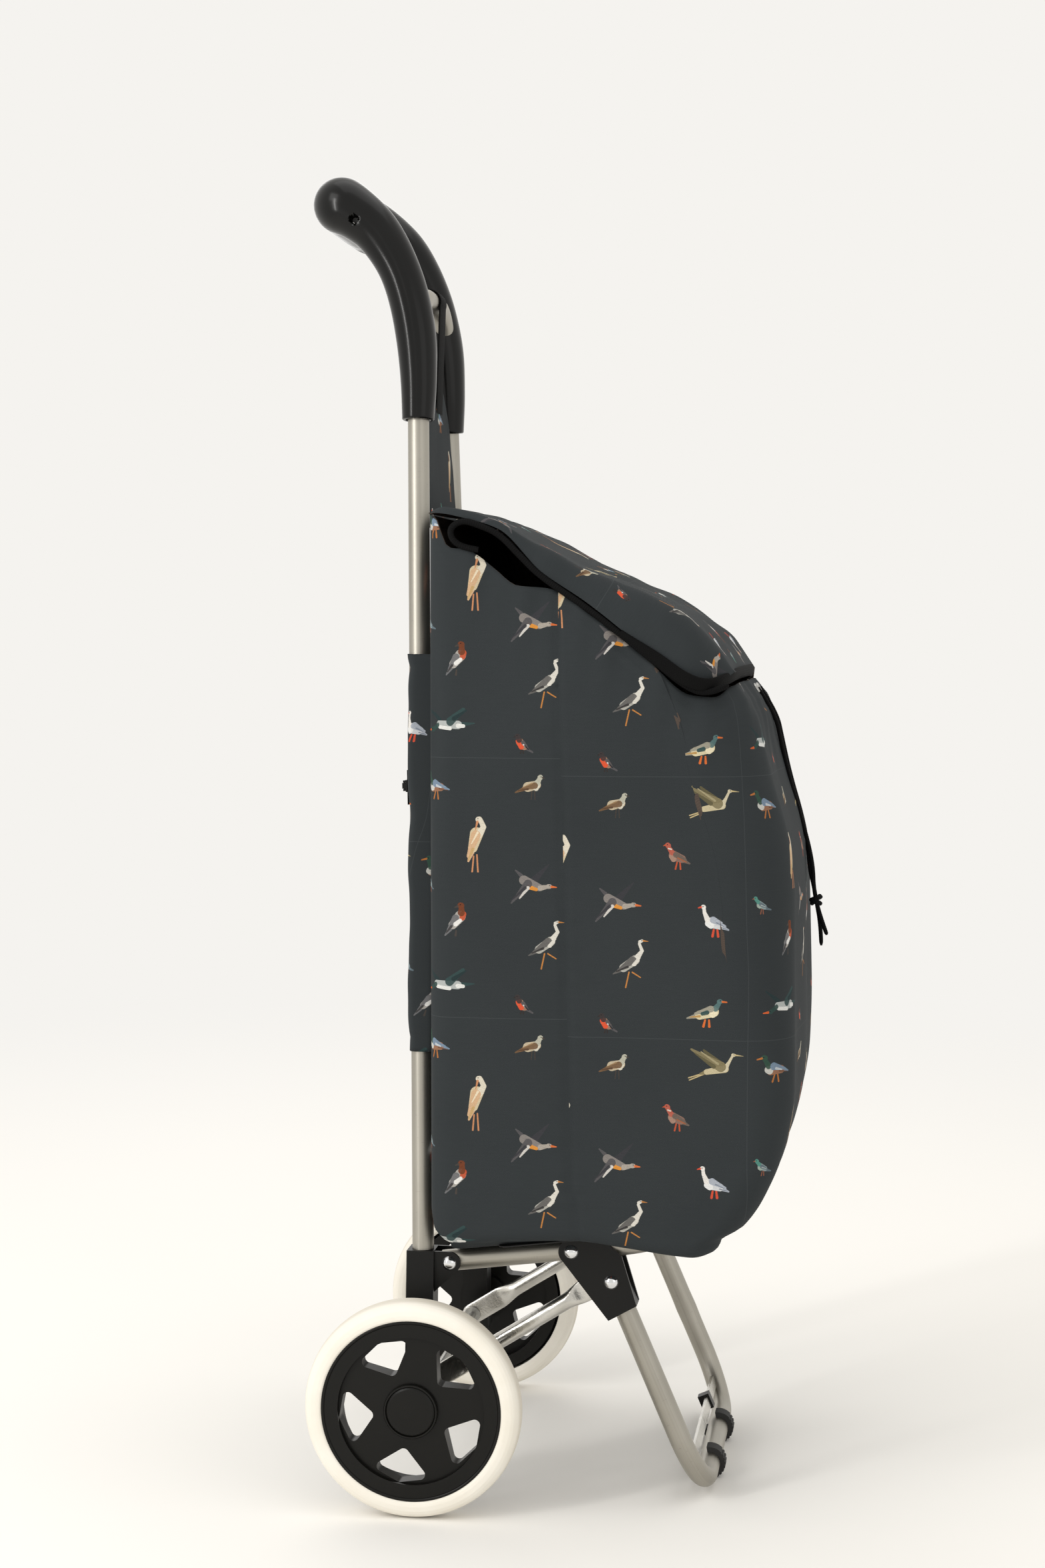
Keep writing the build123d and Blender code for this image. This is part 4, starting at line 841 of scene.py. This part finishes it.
def plan(front, seam, corner, inset, across, rear=18.0):
    """Each level's ring, from the middle of the back round the right, the front and the left: straight sides,
    round corners, and a front that swells a little in the middle. front, seam and corner have one value for
    each level: x of the front and of the side seam, and the front corner's radius."""
    n = across
    back = 10.0 + inset
    half = HALF - inset
    rear = rear - inset * 0.6
    corner = (corner - inset)[:, None]
    swell = (corner - 22) * 0.16
    front = (front - inset)[:, None]

    def both(values):
        return values + 0 * front

    t = np.linspace(0, 1, n[0], endpoint=False)[None]
    rows = [(both(back + 0 * t), both(-t * (half - rear)))]
    t = np.linspace(0, math.pi / 2, n[1], endpoint=False)[None]
    rows.append((both(back + rear - rear * np.cos(t)), both(-(half - rear) - rear * np.sin(t))))
    t = np.linspace(0, 1, n[2], endpoint=False)[None]
    rows.append((back + rear + t * (seam[:, None] - back - rear), both(-half + 0 * t)))
    t = np.linspace(0, 1, n[3], endpoint=False)[None]
    rows.append((seam[:, None] + t * (front - corner - seam[:, None]), both(-half + 0 * t)))
    t = np.linspace(0, math.pi / 2, n[4], endpoint=False)[None]
    rows.append((front - swell - corner + corner * np.sin(t), -(half - corner) - corner * np.cos(t)))
    t = np.linspace(-1, 1, 2 * n[5] + 1)[None]
    rows.append((front - swell * t * t, t * (half - corner)))
    x = np.concatenate([r[0] for r in rows], 1)
    y = np.concatenate([r[1] for r in rows], 1)
    middle = x.shape[1] - n[5] - 1
    right_x, right_y = x[:, :middle], y[:, :middle]
    x = np.concatenate([right_x, x[:, middle:middle + 1], right_x[:, :0:-1]], 1)
    y = np.concatenate([right_y, y[:, middle:middle + 1], -right_y[:, :0:-1]], 1)
    return x, y, n[0] + n[1] + n[2]


def bag_grid(inset, drop, rows, across, rich):
    """The bag: rings from its mouth down to its foot, then a rounded turn and the floor. A ring's height goes
    from the mouth's edge to the foot's edge as its share of the way; its front follows the front's curve."""
    share = np.linspace(1, 0, rows)
    level = 194 + share * (607.5 - 194)
    front = through(FRONT_Z, FRONT_X, level)
    seam = through(SEAM_Z, SEAM_X, level)
    corner = through([190, 240, 330, 430, 640], [24, 27, 38, 50, 54], level)
    x, y, seam_at = plan(front, seam, corner, inset, across)
    edge = through(EDGE_X, EDGE_Z, x) - drop
    base = through(BASE_X, BASE_Z, x) + inset + 10
    z = base + share[:, None] * (edge - base)
    ring = x.shape[1]
    step = np.hypot(np.diff(x, axis=1), np.diff(y, axis=1))
    length = np.concatenate([np.zeros((rows, 1)), np.cumsum(step, axis=1)], 1)
    length = length - length[:, seam_at:seam_at + 1] + x[:, seam_at:seam_at + 1]
    gap = np.hypot(x[:, -1] - x[:, 0], y[:, -1] - y[:, 0])[:, None]
    uv = np.stack([np.concatenate([length, length[:, -1:] + gap], 1), np.concatenate([z, z[:, :1]], 1)], -1)
    out_x = np.roll(y, -1, 1) - np.roll(y, 1, 1)
    out_y = -(np.roll(x, -1, 1) - np.roll(x, 1, 1))
    out = unit(np.stack([out_x, out_y], -1)) * -1
    out = out * np.sign((out * np.stack([x - 130, y], -1)).sum(-1, keepdims=True))
    swell = 1.3 * ripple(length, z, 3, 170) * ease((1 - share[:, None]) * 6) * ease(share[:, None] * 8)
    crease = (length - 150) - (560 - z) * 0.55
    swell = swell + 1.5 * np.exp(-(crease / 26) ** 2) * ease(share[:, None] * 5) * ease((1 - share[:, None]) * 4)
    swell = swell + 1.6 * np.sin(np.clip((z - 205) / 60, 0, 1) * math.pi)
    under = (edge - z)
    gather = ripple(length, z * 0.15, 5, 26) * 1.5 * np.exp(-(under / 42) ** 2)
    gather = gather * ((x > 24) | (under > 30))
    swell = swell + gather
    if rich:
        for at in (seam_at, ring - seam_at):
            off = np.abs(length - length[:, at:at + 1])
            swell = swell - 1.5 * np.exp(-(off / 1.7) ** 2)
            swell = swell + 0.55 * np.exp(-(off / 12) ** 2) * ripple(z, z * 0, 8, 13) * (off > 1)
        swell = swell + 0.7 * np.exp(-((under - 13) / 3) ** 2) - 0.5 * np.exp(-((under - 17) / 1.5) ** 2)
    held = np.where(x < 13 + inset, 0.0, 1.0)
    x = x + out[..., 0] * swell * held
    y = y + out[..., 1] * swell * held
    points = [np.stack([x, y, z], -1)]
    uvs = [uv]
    last, foot = points[0][-1], uv[-1]
    curve = 10.0
    for i, t in enumerate(np.linspace(0, math.pi / 2, 6)[1:]):
        move = curve * (1 - np.cos(t))
        inner = last[:, :2] - out[-1] * move
        points.append(np.stack([inner[:, 0], inner[:, 1], last[:, 2] - curve * np.sin(t)], -1)[None])
        uvs.append((foot - (0, 10.0 * t))[None])
    rim = points[-1][0]
    for k in (0.985, 0.96, 0.9, 0.75, 0.5, 0.25, 0.08):
        px = np.clip(rim[:, 0], 40, 195) * (1 - k) + rim[:, 0] * k
        py = rim[:, 1] * k
        flat = 178.1 + 0.1235 * (px - 20.3) + 9.5 + inset
        settle = ease((1 - k) * 7)
        pz = rim[:, 2] * (1 - settle) + flat * settle
        points.append(np.stack([px, py, np.maximum(pz, np.minimum(flat, rim[:, 2]))], -1)[None])
        foot_now = uvs[-1][0] - (0, 8.0)
        uvs.append(foot_now[None])
    points, uv = np.concatenate(points), np.concatenate(uvs)
    columns = np.arange(ring)
    rear_part = (columns < seam_at)
    far_part = (columns >= ring - seam_at)
    shift = np.where(rear_part[:, None], (-180.4, -553.0), np.where(far_part[:, None], (-95.0, -470.0),
                                                                    (-241.1, -352.9)))
    shift = np.broadcast_to(shift, (len(points) - 1, ring, 2))
    return points, uv, shift


def bag_piece(name, nodes, finish, inner, inset, drop, rows, across, rich, thick):
    """The bag or its lining: the same grid, drawn in by the inset and cut lower at its mouth by the drop."""
    points, uv, shift = bag_grid(inset, drop, rows, across, rich)
    cloth = grid(points, wrap=True, ends="last", uv=uv, shift=shift, flip=True)
    made = piece(name, [cloth], finish, "frame", nodes, 60, inner=inner)
    thicken(made, thick)
    return made


bag = bag_piece("bag_cloth", ["bag_shell"], PRINT, LINING, 0.0, 0.0, 132, (36, 7, 20, 30, 18, 28), True,
                CLOTH)
lining = bag_piece("bag_inner_cloth", ["bag_lining"], LINING, LINING, 3.6, 7.0, 60,
                   (20, 6, 10, 15, 10, 16), False, 0.0008)
SQUASHED += [bag, lining]

# The flap
TOP_X = [11, 13.5, 22, 40, 60, 87, 122, 150, 178, 204, 217, 229]
TOP_Z = [729, 730.5, 732.5, 729.5, 722, 707.5, 690, 678.5, 665, 646, 631, 614.5]
SKIRT_X = [0, 10, 22, 32, 62, 93, 127, 172, 199, 214, 229]
SKIRT_Z = [729.5, 729, 728, 726, 717, 686.5, 663.5, 627.5, 605.5, 603, 614.5]


def flap_grid():
    """The flap: a cut across at each station along its top, from the near lower edge up the side, round the
    shoulder, over the top with a slight crown, and down the far side."""
    reach = np.linspace(11, 229, 400)
    along = spread(np.stack([reach, through(TOP_X, TOP_Z, reach)], 1), 104)
    xt, zt = along[:, 0], along[:, 1]
    skirt = through(SKIRT_X, SKIRT_Z, xt)
    far_skirt = np.minimum(skirt, through(EDGE_X, EDGE_Z, xt) - 5 * ease((xt - 14) / 10) * ease((205 - xt) / 20))
    corner = np.clip((xt - 177) / 52, 0, 1)
    half = HALF + 1.0 - 52 * (1 - np.sqrt(1 - corner ** 2 * 0.94))
    rear = np.clip((28 - xt) / 18, 0, 1)
    half = half - 18 * (1 - np.sqrt(1 - rear ** 2 * 0.9))
    tall = np.maximum(zt - skirt, 0)
    radius = np.minimum(24, tall * 0.8 + 0.2)
    t = np.linspace(0, 1, 14)[None]
    y_side, z_side = -half[:, None] + 0 * t, skirt[:, None] + t * (tall - radius)[:, None]
    t = np.linspace(0, math.pi / 2, 14)[1:][None]
    y_bend = -half[:, None] + radius[:, None] * (1 - np.cos(t))
    z_bend = (zt - radius)[:, None] + radius[:, None] * np.sin(t)
    t = np.linspace(0, 1, 46)[1:][None]
    y_top = (-half + radius)[:, None] * (1 - t)
    z_top = zt[:, None] + 1.5 * ease(t)
    y = np.concatenate([y_side, y_bend, y_top], 1)
    z = np.concatenate([z_side, z_bend, z_top], 1)
    y = np.concatenate([y, -y[:, -2::-1]], 1)
    z = np.concatenate([z, z[:, -2::-1]], 1)
    span = np.maximum(zt - radius - skirt, 0.01)[:, None]
    below = np.clip(((zt - radius)[:, None] - z) / span, 0, 1) * (y > 0) * (np.abs(y) > half[:, None] - 0.01)
    z = z - below * (skirt - far_skirt)[:, None]
    x = np.broadcast_to(xt[:, None], y.shape)
    points = np.stack([x, y, z], -1)
    normal = unit(np.cross(np.gradient(points, axis=0), np.gradient(points, axis=1)))
    normal = normal * np.sign((normal * (points - (120, 0, 600))).sum(-1, keepdims=True))
    step = np.linalg.norm(np.diff(points, axis=0), axis=2)
    run = np.concatenate([np.zeros((1, points.shape[1])), np.cumsum(step, axis=0)])
    side = np.linalg.norm(np.diff(points, axis=1), axis=2)
    over = np.concatenate([np.zeros((points.shape[0], 1)), np.cumsum(side, axis=1)], 1)
    over = over - over[:, over.shape[1] // 2][:, None]
    wave = 0.9 * ripple(run, over, 12, 110) + 0.4 * ripple(run, over * 0.4, 17, 40)
    wave = wave * ease(run / 40) * ease((run[-1:] - run) / 30 + 0.2)
    near = np.abs(over) > 150
    wave = wave + near * 0.25 * ripple(run, over * 0.3, 19, 22)
    points = points + normal * wave[..., None]
    uv = np.stack([run + 40, over], -1)
    return points, uv


flap_points, flap_uv = flap_grid()
flap_uv = np.stack([flap_uv[..., 1] + 60, flap_uv[..., 0]], -1)
flap = piece("lid_cloth", [grid(flap_points, uv=flap_uv, flip=True)], PRINT, "flap", ["lid_flap"], 60,
             inner=LINING)
thicken(flap, CLOTH)
SQUASHED.append(flap)


def mirrored(half):
    """A half path on the right, with its mirror image joined on."""
    half = np.asarray(half, float)
    other = half[::-1] * (1, -1, 1)
    return np.concatenate([half, other[1:] if abs(half[-1, 1]) < 1e-6 else other])


def spline(points, count):
    """A quadratic B-spline with doubled ends: on each span the mean of two neighbours moved by t and t squared."""
    points = np.asarray(points, float)
    p = np.concatenate([2 * points[:1] - points[1:2], points, 2 * points[-1:] - points[-2:-1]])
    spans = len(p) - 2
    s = np.linspace(0.5, spans - 0.5, count)
    i = np.clip(s.astype(int), 0, spans - 1)
    t = (s - i)[:, None]
    return 0.5 * (p[i] - 2 * p[i + 1] + p[i + 2]) * t * t + (p[i + 1] - p[i]) * t + 0.5 * (p[i] + p[i + 1])


# The band on the flap's front edge, flat and high in front and thin at its ends
band_path = mirrored([(150, -167.2, 643), (172, -167.2, 628), (190, -166.8, 613.5), (203, -165.8, 607),
                      (212, -159, 605.5), (220, -147, 608), (226, -128, 611), (228.3, -100, 613), (229, -50, 613.5),
                      (229, 0, 613.5)])
band_path = spline(band_path, 220)
at = np.linspace(0, 1, 220)
swell_in = ease(np.minimum(at, 1 - at) / 0.10)
ring = circle(24)
tall = (2.4 + 2.4 * swell_in)[:, None]
deep = (2.2 - 0.6 * swell_in)[:, None]
rings = np.stack([ring[None, :, 0] * tall, ring[None, :, 1] * deep], -1)
band = piece("flap_binding", shut([carried(band_path, rings)]), WEBBING, "flap", ["flap_band"], 60)
SQUASHED.append(band)

RIM_EDGE = [(48, 702), (37, 703.5), (28.5, 709.5), (27.5, 718), (36.5, 723.3), (49, 719.3), (63, 713.3), (78, 697.5),
            (93, 682.5), (127, 660), (150, 642), (172, 624.2), (199, 602.2), (214, 599.7), (226, 606)]
for name, side in SIDES.items():
    line = route(f"rim_{name}", [(x, side * (HALF + 1.2 - max(0, x - 190) * 0.35), z) for x, z in RIM_EDGE])
    SQUASHED.append(cord_tube(f"rim_cord_{name}_braid", line, RIM_CORD_R, "frame", [f"rim_cord_{name}"]))

# The eyelets
rolled = [(2.2, 0.2), (2.2, 1.1), (2.8, 1.6), (3.6, 1.5), (4.2, 1.0), (4.4, 0.2)]
eye = []
for side in (-1, 1):
    r, up = np.array(rolled).T
    turn = turns(40)
    x_axis, y_axis, z_axis = np.array((-0.528, 0, 0.849)), np.array((0, 1.0, 0)), np.array((0.849, 0, 0.528))
    points = np.array((238.2, side * 15.0, 600.4)) + r[:, None, None] * (
        np.cos(turn)[None, :, None] * x_axis + np.sin(turn)[None, :, None] * y_axis) + up[:, None, None] * z_axis
    points = np.concatenate([points, points[:1]])
    eye.append(grid(points, wrap=True))
SQUASHED.append(piece("eyelet_rings", shut(eye), ZINC, "frame", ["eyelets"], 50))


# ---------------------------------------------------------------- tubes

def upright_at(z):
    """The left upright's centre at a height."""
    share = (z - 250) / 620
    return np.array((-2.0 - 12.5 * share, 118.0 - 56.3 * share, z))


def swept(path, radii, head=(), tail=(), ring=None):
    """A round form along a path, with extra rings before and after it: (distance past the end, radius)."""
    path = np.asarray(path, float)
    tangent, side, other = frames(path)
    ring = circle(40) if ring is None else ring
    centres = [path[0] - tangent[0] * d for d, _ in head] + list(path) + [path[-1] + tangent[-1] * d for d, _ in tail]
    first, last = len(head), len(tail)
    side = np.concatenate([np.repeat(side[:1], first, 0), side, np.repeat(side[-1:], last, 0)])
    other = np.concatenate([np.repeat(other[:1], first, 0), other, np.repeat(other[-1:], last, 0)])
    sizes = np.concatenate([[r for _, r in head], radii, [r for _, r in tail]])
    ring = np.broadcast_to(ring, (len(centres), *np.shape(ring)[-2:])) * sizes[:, None, None]
    points = np.array(centres)[:, None] + ring[..., :1] * side[:, None] + ring[..., 1:] * other[:, None]
    along = np.concatenate([[0], np.cumsum(np.linalg.norm(np.diff(np.array(centres), axis=0), axis=1))])
    turn = np.linspace(0, 2 * math.pi * 8, ring.shape[1] + 1)
    uv = np.stack(np.meshgrid(turn, along, indexing="xy"), -1)
    return shut([grid(points, wrap=True, ends=True, uv=uv)])[0]


def tube(name, path, end, body, nodes, ring=None):
    """A round tube along a path, with the same rings before and after it."""
    part = swept(path, np.full(len(path), TUBE_R), end, end[::-1], ring)
    piece(name, [part], TUBE, body, nodes, 40)


low_end, top_end = upright_at(112), upright_at(897)
mirror = np.array((1, -1, 1))
frame_path = bent([low_end * mirror, top_end * mirror, top_end, low_end], [40, 40])
tube("frame_tube_bent", frame_path, [(0, 6.6), (0, 7.6), (-0.4, TUBE_R)], "frame",
     ["upright_left", "upright_right", "hoop"])


def rail(along, above=0.0):
    """A point of the platform's side line: so far along the rail from its pivot, and above its middle."""
    ux, uz = 90.7 / math.hypot(90.7, 11.2), 11.2 / math.hypot(90.7, 11.2)
    return 20.3 + along * ux - above * uz, 178.1 + along * uz + above * ux


back, front = rail(-6), rail(167)
platform_path = bent([(back[0], -RAIL_HALF, back[1]), (front[0], -RAIL_HALF, front[1]), (front[0], RAIL_HALF, front[1]),
                      (back[0], RAIL_HALF, back[1])], [42, 42])
bore = TUBE_R - 1.2
lip = [(-14, bore), (-0.5, bore), (0.0, bore + 0.3), (0.0, TUBE_R - 0.4), (-0.3, TUBE_R)]
tube("platform_tube_bent", platform_path, lip, "platform", ["platform_tube"])

C, TOE = np.array((140.5, 167.8)), np.array((207.5, 11.6))
leg_way = (TOE - C) / np.linalg.norm(TOE - C)
leg_top = C - 8.7 * leg_way
leg_path = bent([(leg_top[0], -RAIL_HALF, leg_top[1]), (TOE[0], -RAIL_HALF, TOE[1]), (TOE[0], RAIL_HALF, TOE[1]),
                 (leg_top[0], RAIL_HALF, leg_top[1])], [45, 45])
dent = np.exp(-((leg_path[:, 2] - 88) / 7) ** 2) * (leg_path[:, 1] > 100)
ring = np.broadcast_to(circle(40), (len(leg_path) + 2 * len(lip), 40, 2)).copy()
pinch = np.concatenate([np.zeros(len(lip)), dent, np.zeros(len(lip))])
ring[..., 0] *= 1 - 0.16 * pinch[:, None]
ring[..., 1] *= 1 + 0.05 * pinch[:, None]
tube("stand_tube_bent", leg_path, lip, "stand", ["stand_leg"], ring)

axle_point = np.array((0.0, 80.0))
for name, side in SIDES.items():
    length = float(np.linalg.norm(C - axle_point))
    along = np.concatenate([[-8.4, -8.2, -7.4, -5.6, -3.0], np.linspace(0, length, 150),
                            length + np.array([3.0, 5.6, 7.4, 8.2, 8.4])])
    reach = np.minimum(along, length - along)
    flat = 1 - ease((reach - 26) / 18)
    crimp = 1 - 0.15 * np.exp(-((reach - 30) / 4) ** 2)
    wide = (8.5 * flat + 6.0 * (1 - flat)) * np.sqrt(np.clip(1 - (np.minimum(reach, 0) / 8.5) ** 2, 0.02, 1))
    thin = (2.0 * flat + 6.0 * (1 - flat)) * crimp
    turn = turns(40)
    power = 1 - 0.55 * flat[:, None]
    a = np.sign(np.cos(turn)) * np.abs(np.cos(turn)) ** power * wide[:, None]
    b = np.sign(np.sin(turn)) * np.abs(np.sin(turn)) ** power * thin[:, None]
    way = (C - axle_point) / length
    centre = axle_point + along[:, None] * way
    points = np.stack([centre[:, :1] - a * way[1], side * LINK_HALF + b, centre[:, 1:] + a * way[0]], -1)
    uv = np.stack(np.meshgrid(np.append(turn, 2 * math.pi) * 6, along, indexing="xy"), -1)
    part = shut([grid(points, wrap=True, ends=True, uv=uv)])
    piece(f"link_{name}_pressed", part, PRESSED, f"link_{name}", [f"link_{name}"], 40)

# ---------------------------------------------------------------- handle

arm = [(-13.4, -67.8, 803, 12.1), (-13.2, -65, 834, 13.8), (-16, -62.4, 872, 15.4), (-26, -61, 912, 15.6),
       (-43.5, -60, 942.5, 17.4), (-60, -59.6, 957.0, 19.4), (-75.5, -57, 966, 21.3), (-75.5, -34, 965, 20.5),
       (-75.5, -17, 965, 20.5), (-75.5, 0, 965, 20.5)]
arm = spline(mirrored(np.array(arm)[:, :3]).tolist(), 300), np.array([a[3] for a in arm])
stations = np.linspace(0, 1, len(arm[1]) * 2 - 1)
sizes = through(stations, np.concatenate([arm[1], arm[1][-2::-1]]), np.linspace(0, 1, 300))
sleeve = [(-30, 8.5), (-1.0, 8.5), (0.2, 8.9), (0.9, 10.0), (0.9, 11.2), (0.4, 11.9)]
turn = turns(96)
tangent, side_way, other_way = frames(arm[0])
facing = np.cos(turn)[None, :, None] * side_way[:, None] + np.sin(turn)[None, :, None] * other_way[:, None]
outward = np.stack([0 * arm[0][:, 1], np.sign(arm[0][:, 1]), 0 * arm[0][:, 1]], -1)
on_side = (facing * outward[:, None]).sum(-1)
arm_side = ease((np.abs(arm[0][:, 1]) - 40) / 12)[:, None]
groove = 0.5 * np.exp(-((1 - np.clip(on_side, -1, 1)) / 0.004) ** 1.0) * arm_side
ring = np.broadcast_to(circle(96), (300, 96, 2)) * (1 - groove / sizes[:, None])[..., None]
ring = np.concatenate([np.repeat(ring[:1], len(sleeve), 0), ring, np.repeat(ring[-1:], len(sleeve), 0)])
part = swept(arm[0], sizes, sleeve, sleeve[::-1], ring)
verts = part[0]
from_screw = np.hypot(verts[:, 0] + 60, verts[:, 2] - 951)
dip = 5.5 * (1 - ease((from_screw - 2.4) / 1.5)) * (np.abs(verts[:, 1]) > 66)
verts[:, 1] -= np.sign(verts[:, 1]) * dip
piece("handle_moulded", [part], GLOSS, "frame", ["handle_front_shell", "handle_rear_shell"], 50)

# ---------------------------------------------------------------- wheels

for name, side in SIDES.items():
    edge = [(66.0, -11.6), (67.5, -12.6), (70, -12.9), (73.5, -12.4), (75.8, -11.2), (77.6, -9.4), (78.7, -7.3),
            (79.4, -5), (79.7, -3.4), (79.45, -3.0), (79.8, -2.5), (79.95, -0.5), (79.8, -0.15), (79.8, 0.15),
            (79.95, 0.5), (79.8, 2.5), (79.45, 3.0), (79.7, 3.4), (79.4, 5), (78.7, 7.3), (77.6, 9.4), (75.8, 11.2),
            (73.5, 12.4), (70, 12.9), (67.5, 12.6), (66.0, 11.6)]
    fine = spread(edge, 90)
    verts, polys, flat = turned(np.concatenate([fine, fine[:1]]), side, 200)
    away = np.hypot(verts[:, 0], verts[:, 2] - WHEEL_R)
    part = shut([(verts, polys, flat)])
    piece(f"tyre_{name}_foam", part, FOAM, f"wheel_{name}", [f"tyre_{name}"], 60,
          marks={"rolled": np.clip((away - 78.4) / 1.2, 0, 1)})
    rings = [[(65.9, 10.4), (66.3, 11.0), (66.2, 11.9), (65.5, 12.4), (64.4, 12.2), (63.8, 11.2), (63.8, 10.4)],
             [(19.9, 11.2), (19.9, 12.3), (19.4, 12.9), (18.4, 12.9), (18.0, 12.2), (18.0, 11.2)]]
    parts = [turned(np.array(r + r[:1]), side, 128) for r in rings]
    piece(f"hub_{name}_lips", shut(parts), HUB, f"wheel_{name}", [], 50)

# ---------------------------------------------------------------- pocket and tongue

rows = np.linspace(333, 627, 90)
centre = np.array([upright_at(z) for z in rows])
turn = turns(120)
rear, fore = centre[:, 0] - 10.0, np.full(len(rows), 8.8)
wide = centre[:, 1] + 10.0
power = 0.16
round_x = np.sign(np.cos(turn)) * np.abs(np.cos(turn)) ** 0.35
round_y = np.sign(np.sin(turn)) * np.abs(np.sin(turn)) ** power
x = (rear + fore)[:, None] / 2 + (fore - rear)[:, None] / 2 * round_x
y = wide[:, None] * round_y
fullness = ripple(y, rows[:, None] + 0 * y, 31, 70) * 0.8 + ripple(y * 0.4, rows[:, None] + 0 * y, 32, 24) * 0.35
x = x - fullness * (round_x < -0.2) * ease((rows - 333)[:, None] / 12) * ease((627 - rows)[:, None] / 12)
z = np.broadcast_to(rows[:, None], x.shape)
hem = 0.7 * (np.exp(-(((rows - 333) - 11) / 1.2) ** 2) + np.exp(-(((627 - rows) - 11) / 1.2) ** 2))[:, None]
y = y - np.sign(y) * hem * 0.6
x = x + hem * (round_x < 0)
points = np.stack([x, y, z], -1)
length = np.concatenate([np.zeros((len(rows), 1)), np.cumsum(np.hypot(np.diff(x, axis=1), np.diff(y, axis=1)), 1)], 1)
uv = np.stack([np.concatenate([length, length[:, -1:] + 4], 1) + 33, np.concatenate([z, z[:, :1]], 1) - 300], -1)
pocket = piece("pocket_cloth", [grid(points, wrap=True, uv=uv)], PRINT, "frame",
               ["rear_pocket"], 60, inner=LINING)
thicken(pocket, CLOTH, rim=0)

levels = np.linspace(-34, 108.5, 90)
across_half = through([-34, 0, 20, 40, 58, 72, 86, 96, 103, 107, 108.5],
                      [60, 60, 59, 57, 52, 49, 43, 34, 24, 12, 4], levels)
t = np.linspace(-1, 1, 60)
y = across_half[:, None] * t
puff = 1.0 * (1 - t ** 4)[None] * ease((levels + 20) / 20)[:, None] * ease((108 - levels) / 14)[:, None]
puff = puff + 0.35 * ripple(y, levels[:, None] + 0 * y, 41, 46)
base_x = 7.4 - 12.5 * ease((levels[:, None] + 34) / 34) - 0.05 * (levels[:, None] + 34) + puff
z = 728.5 + levels[:, None] + 0 * y
front_face = np.stack([base_x, y, z], -1)
uv = np.stack([y + 20, z - 640], -1)
tongue = piece("tongue_cloth", [grid(front_face, uv=uv)], PRINT, "frame", ["tongue"], 60, inner=PRINT)
thicken(tongue, 0.002, offset=0)

outline = rounded([(-148, 40), (148, 40), (148, 176), (-148, 176)], 8)
bars = []
for above, edge in ((10.9, 0.5), (11.1, 0.1), (11.9, 0.1), (12.1, 0.5)):
    along = 108 + (outline[:, 1] - 108) * (1 - edge / 70)
    x, z = rail(along, above)
    bars.append(np.stack([x, outline[:, 0] * (1 - edge / 148), z], -1))
piece("base_board_sheet", shut([grid(np.array(bars), wrap=True, ends=True)]), BOARD, "platform",
      ["base_board"], 40)

turn = np.linspace(math.radians(-20), math.radians(200), 28)
over = np.stack([-15.04 + 9.2 * np.cos(turn), 0 * turn, 897 + 9.2 * np.sin(turn)], 1)
strap = np.concatenate([spread([(-9.4, 0, 812), (-6.4, 0, 893.8)], 20)[:-1], over,
                        spread([(-23.7, 0, 893.8), (-15.0, 0, 812)], 20)[1:]])
flat_ring = rounded([(12.5, 0.6), (-12.5, 0.6), (-12.5, -0.6), (12.5, -0.6)], 0.5, 4)
piece("hanger_strap", shut([carried(strap, flat_ring, up=(0, 1, 0))]), WEBBING, "frame",
      ["hanger_loop"], 50)

# ---------------------------------------------------------------- the soft pieces' own meshes

for soft in SQUASHED:
    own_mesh(soft)
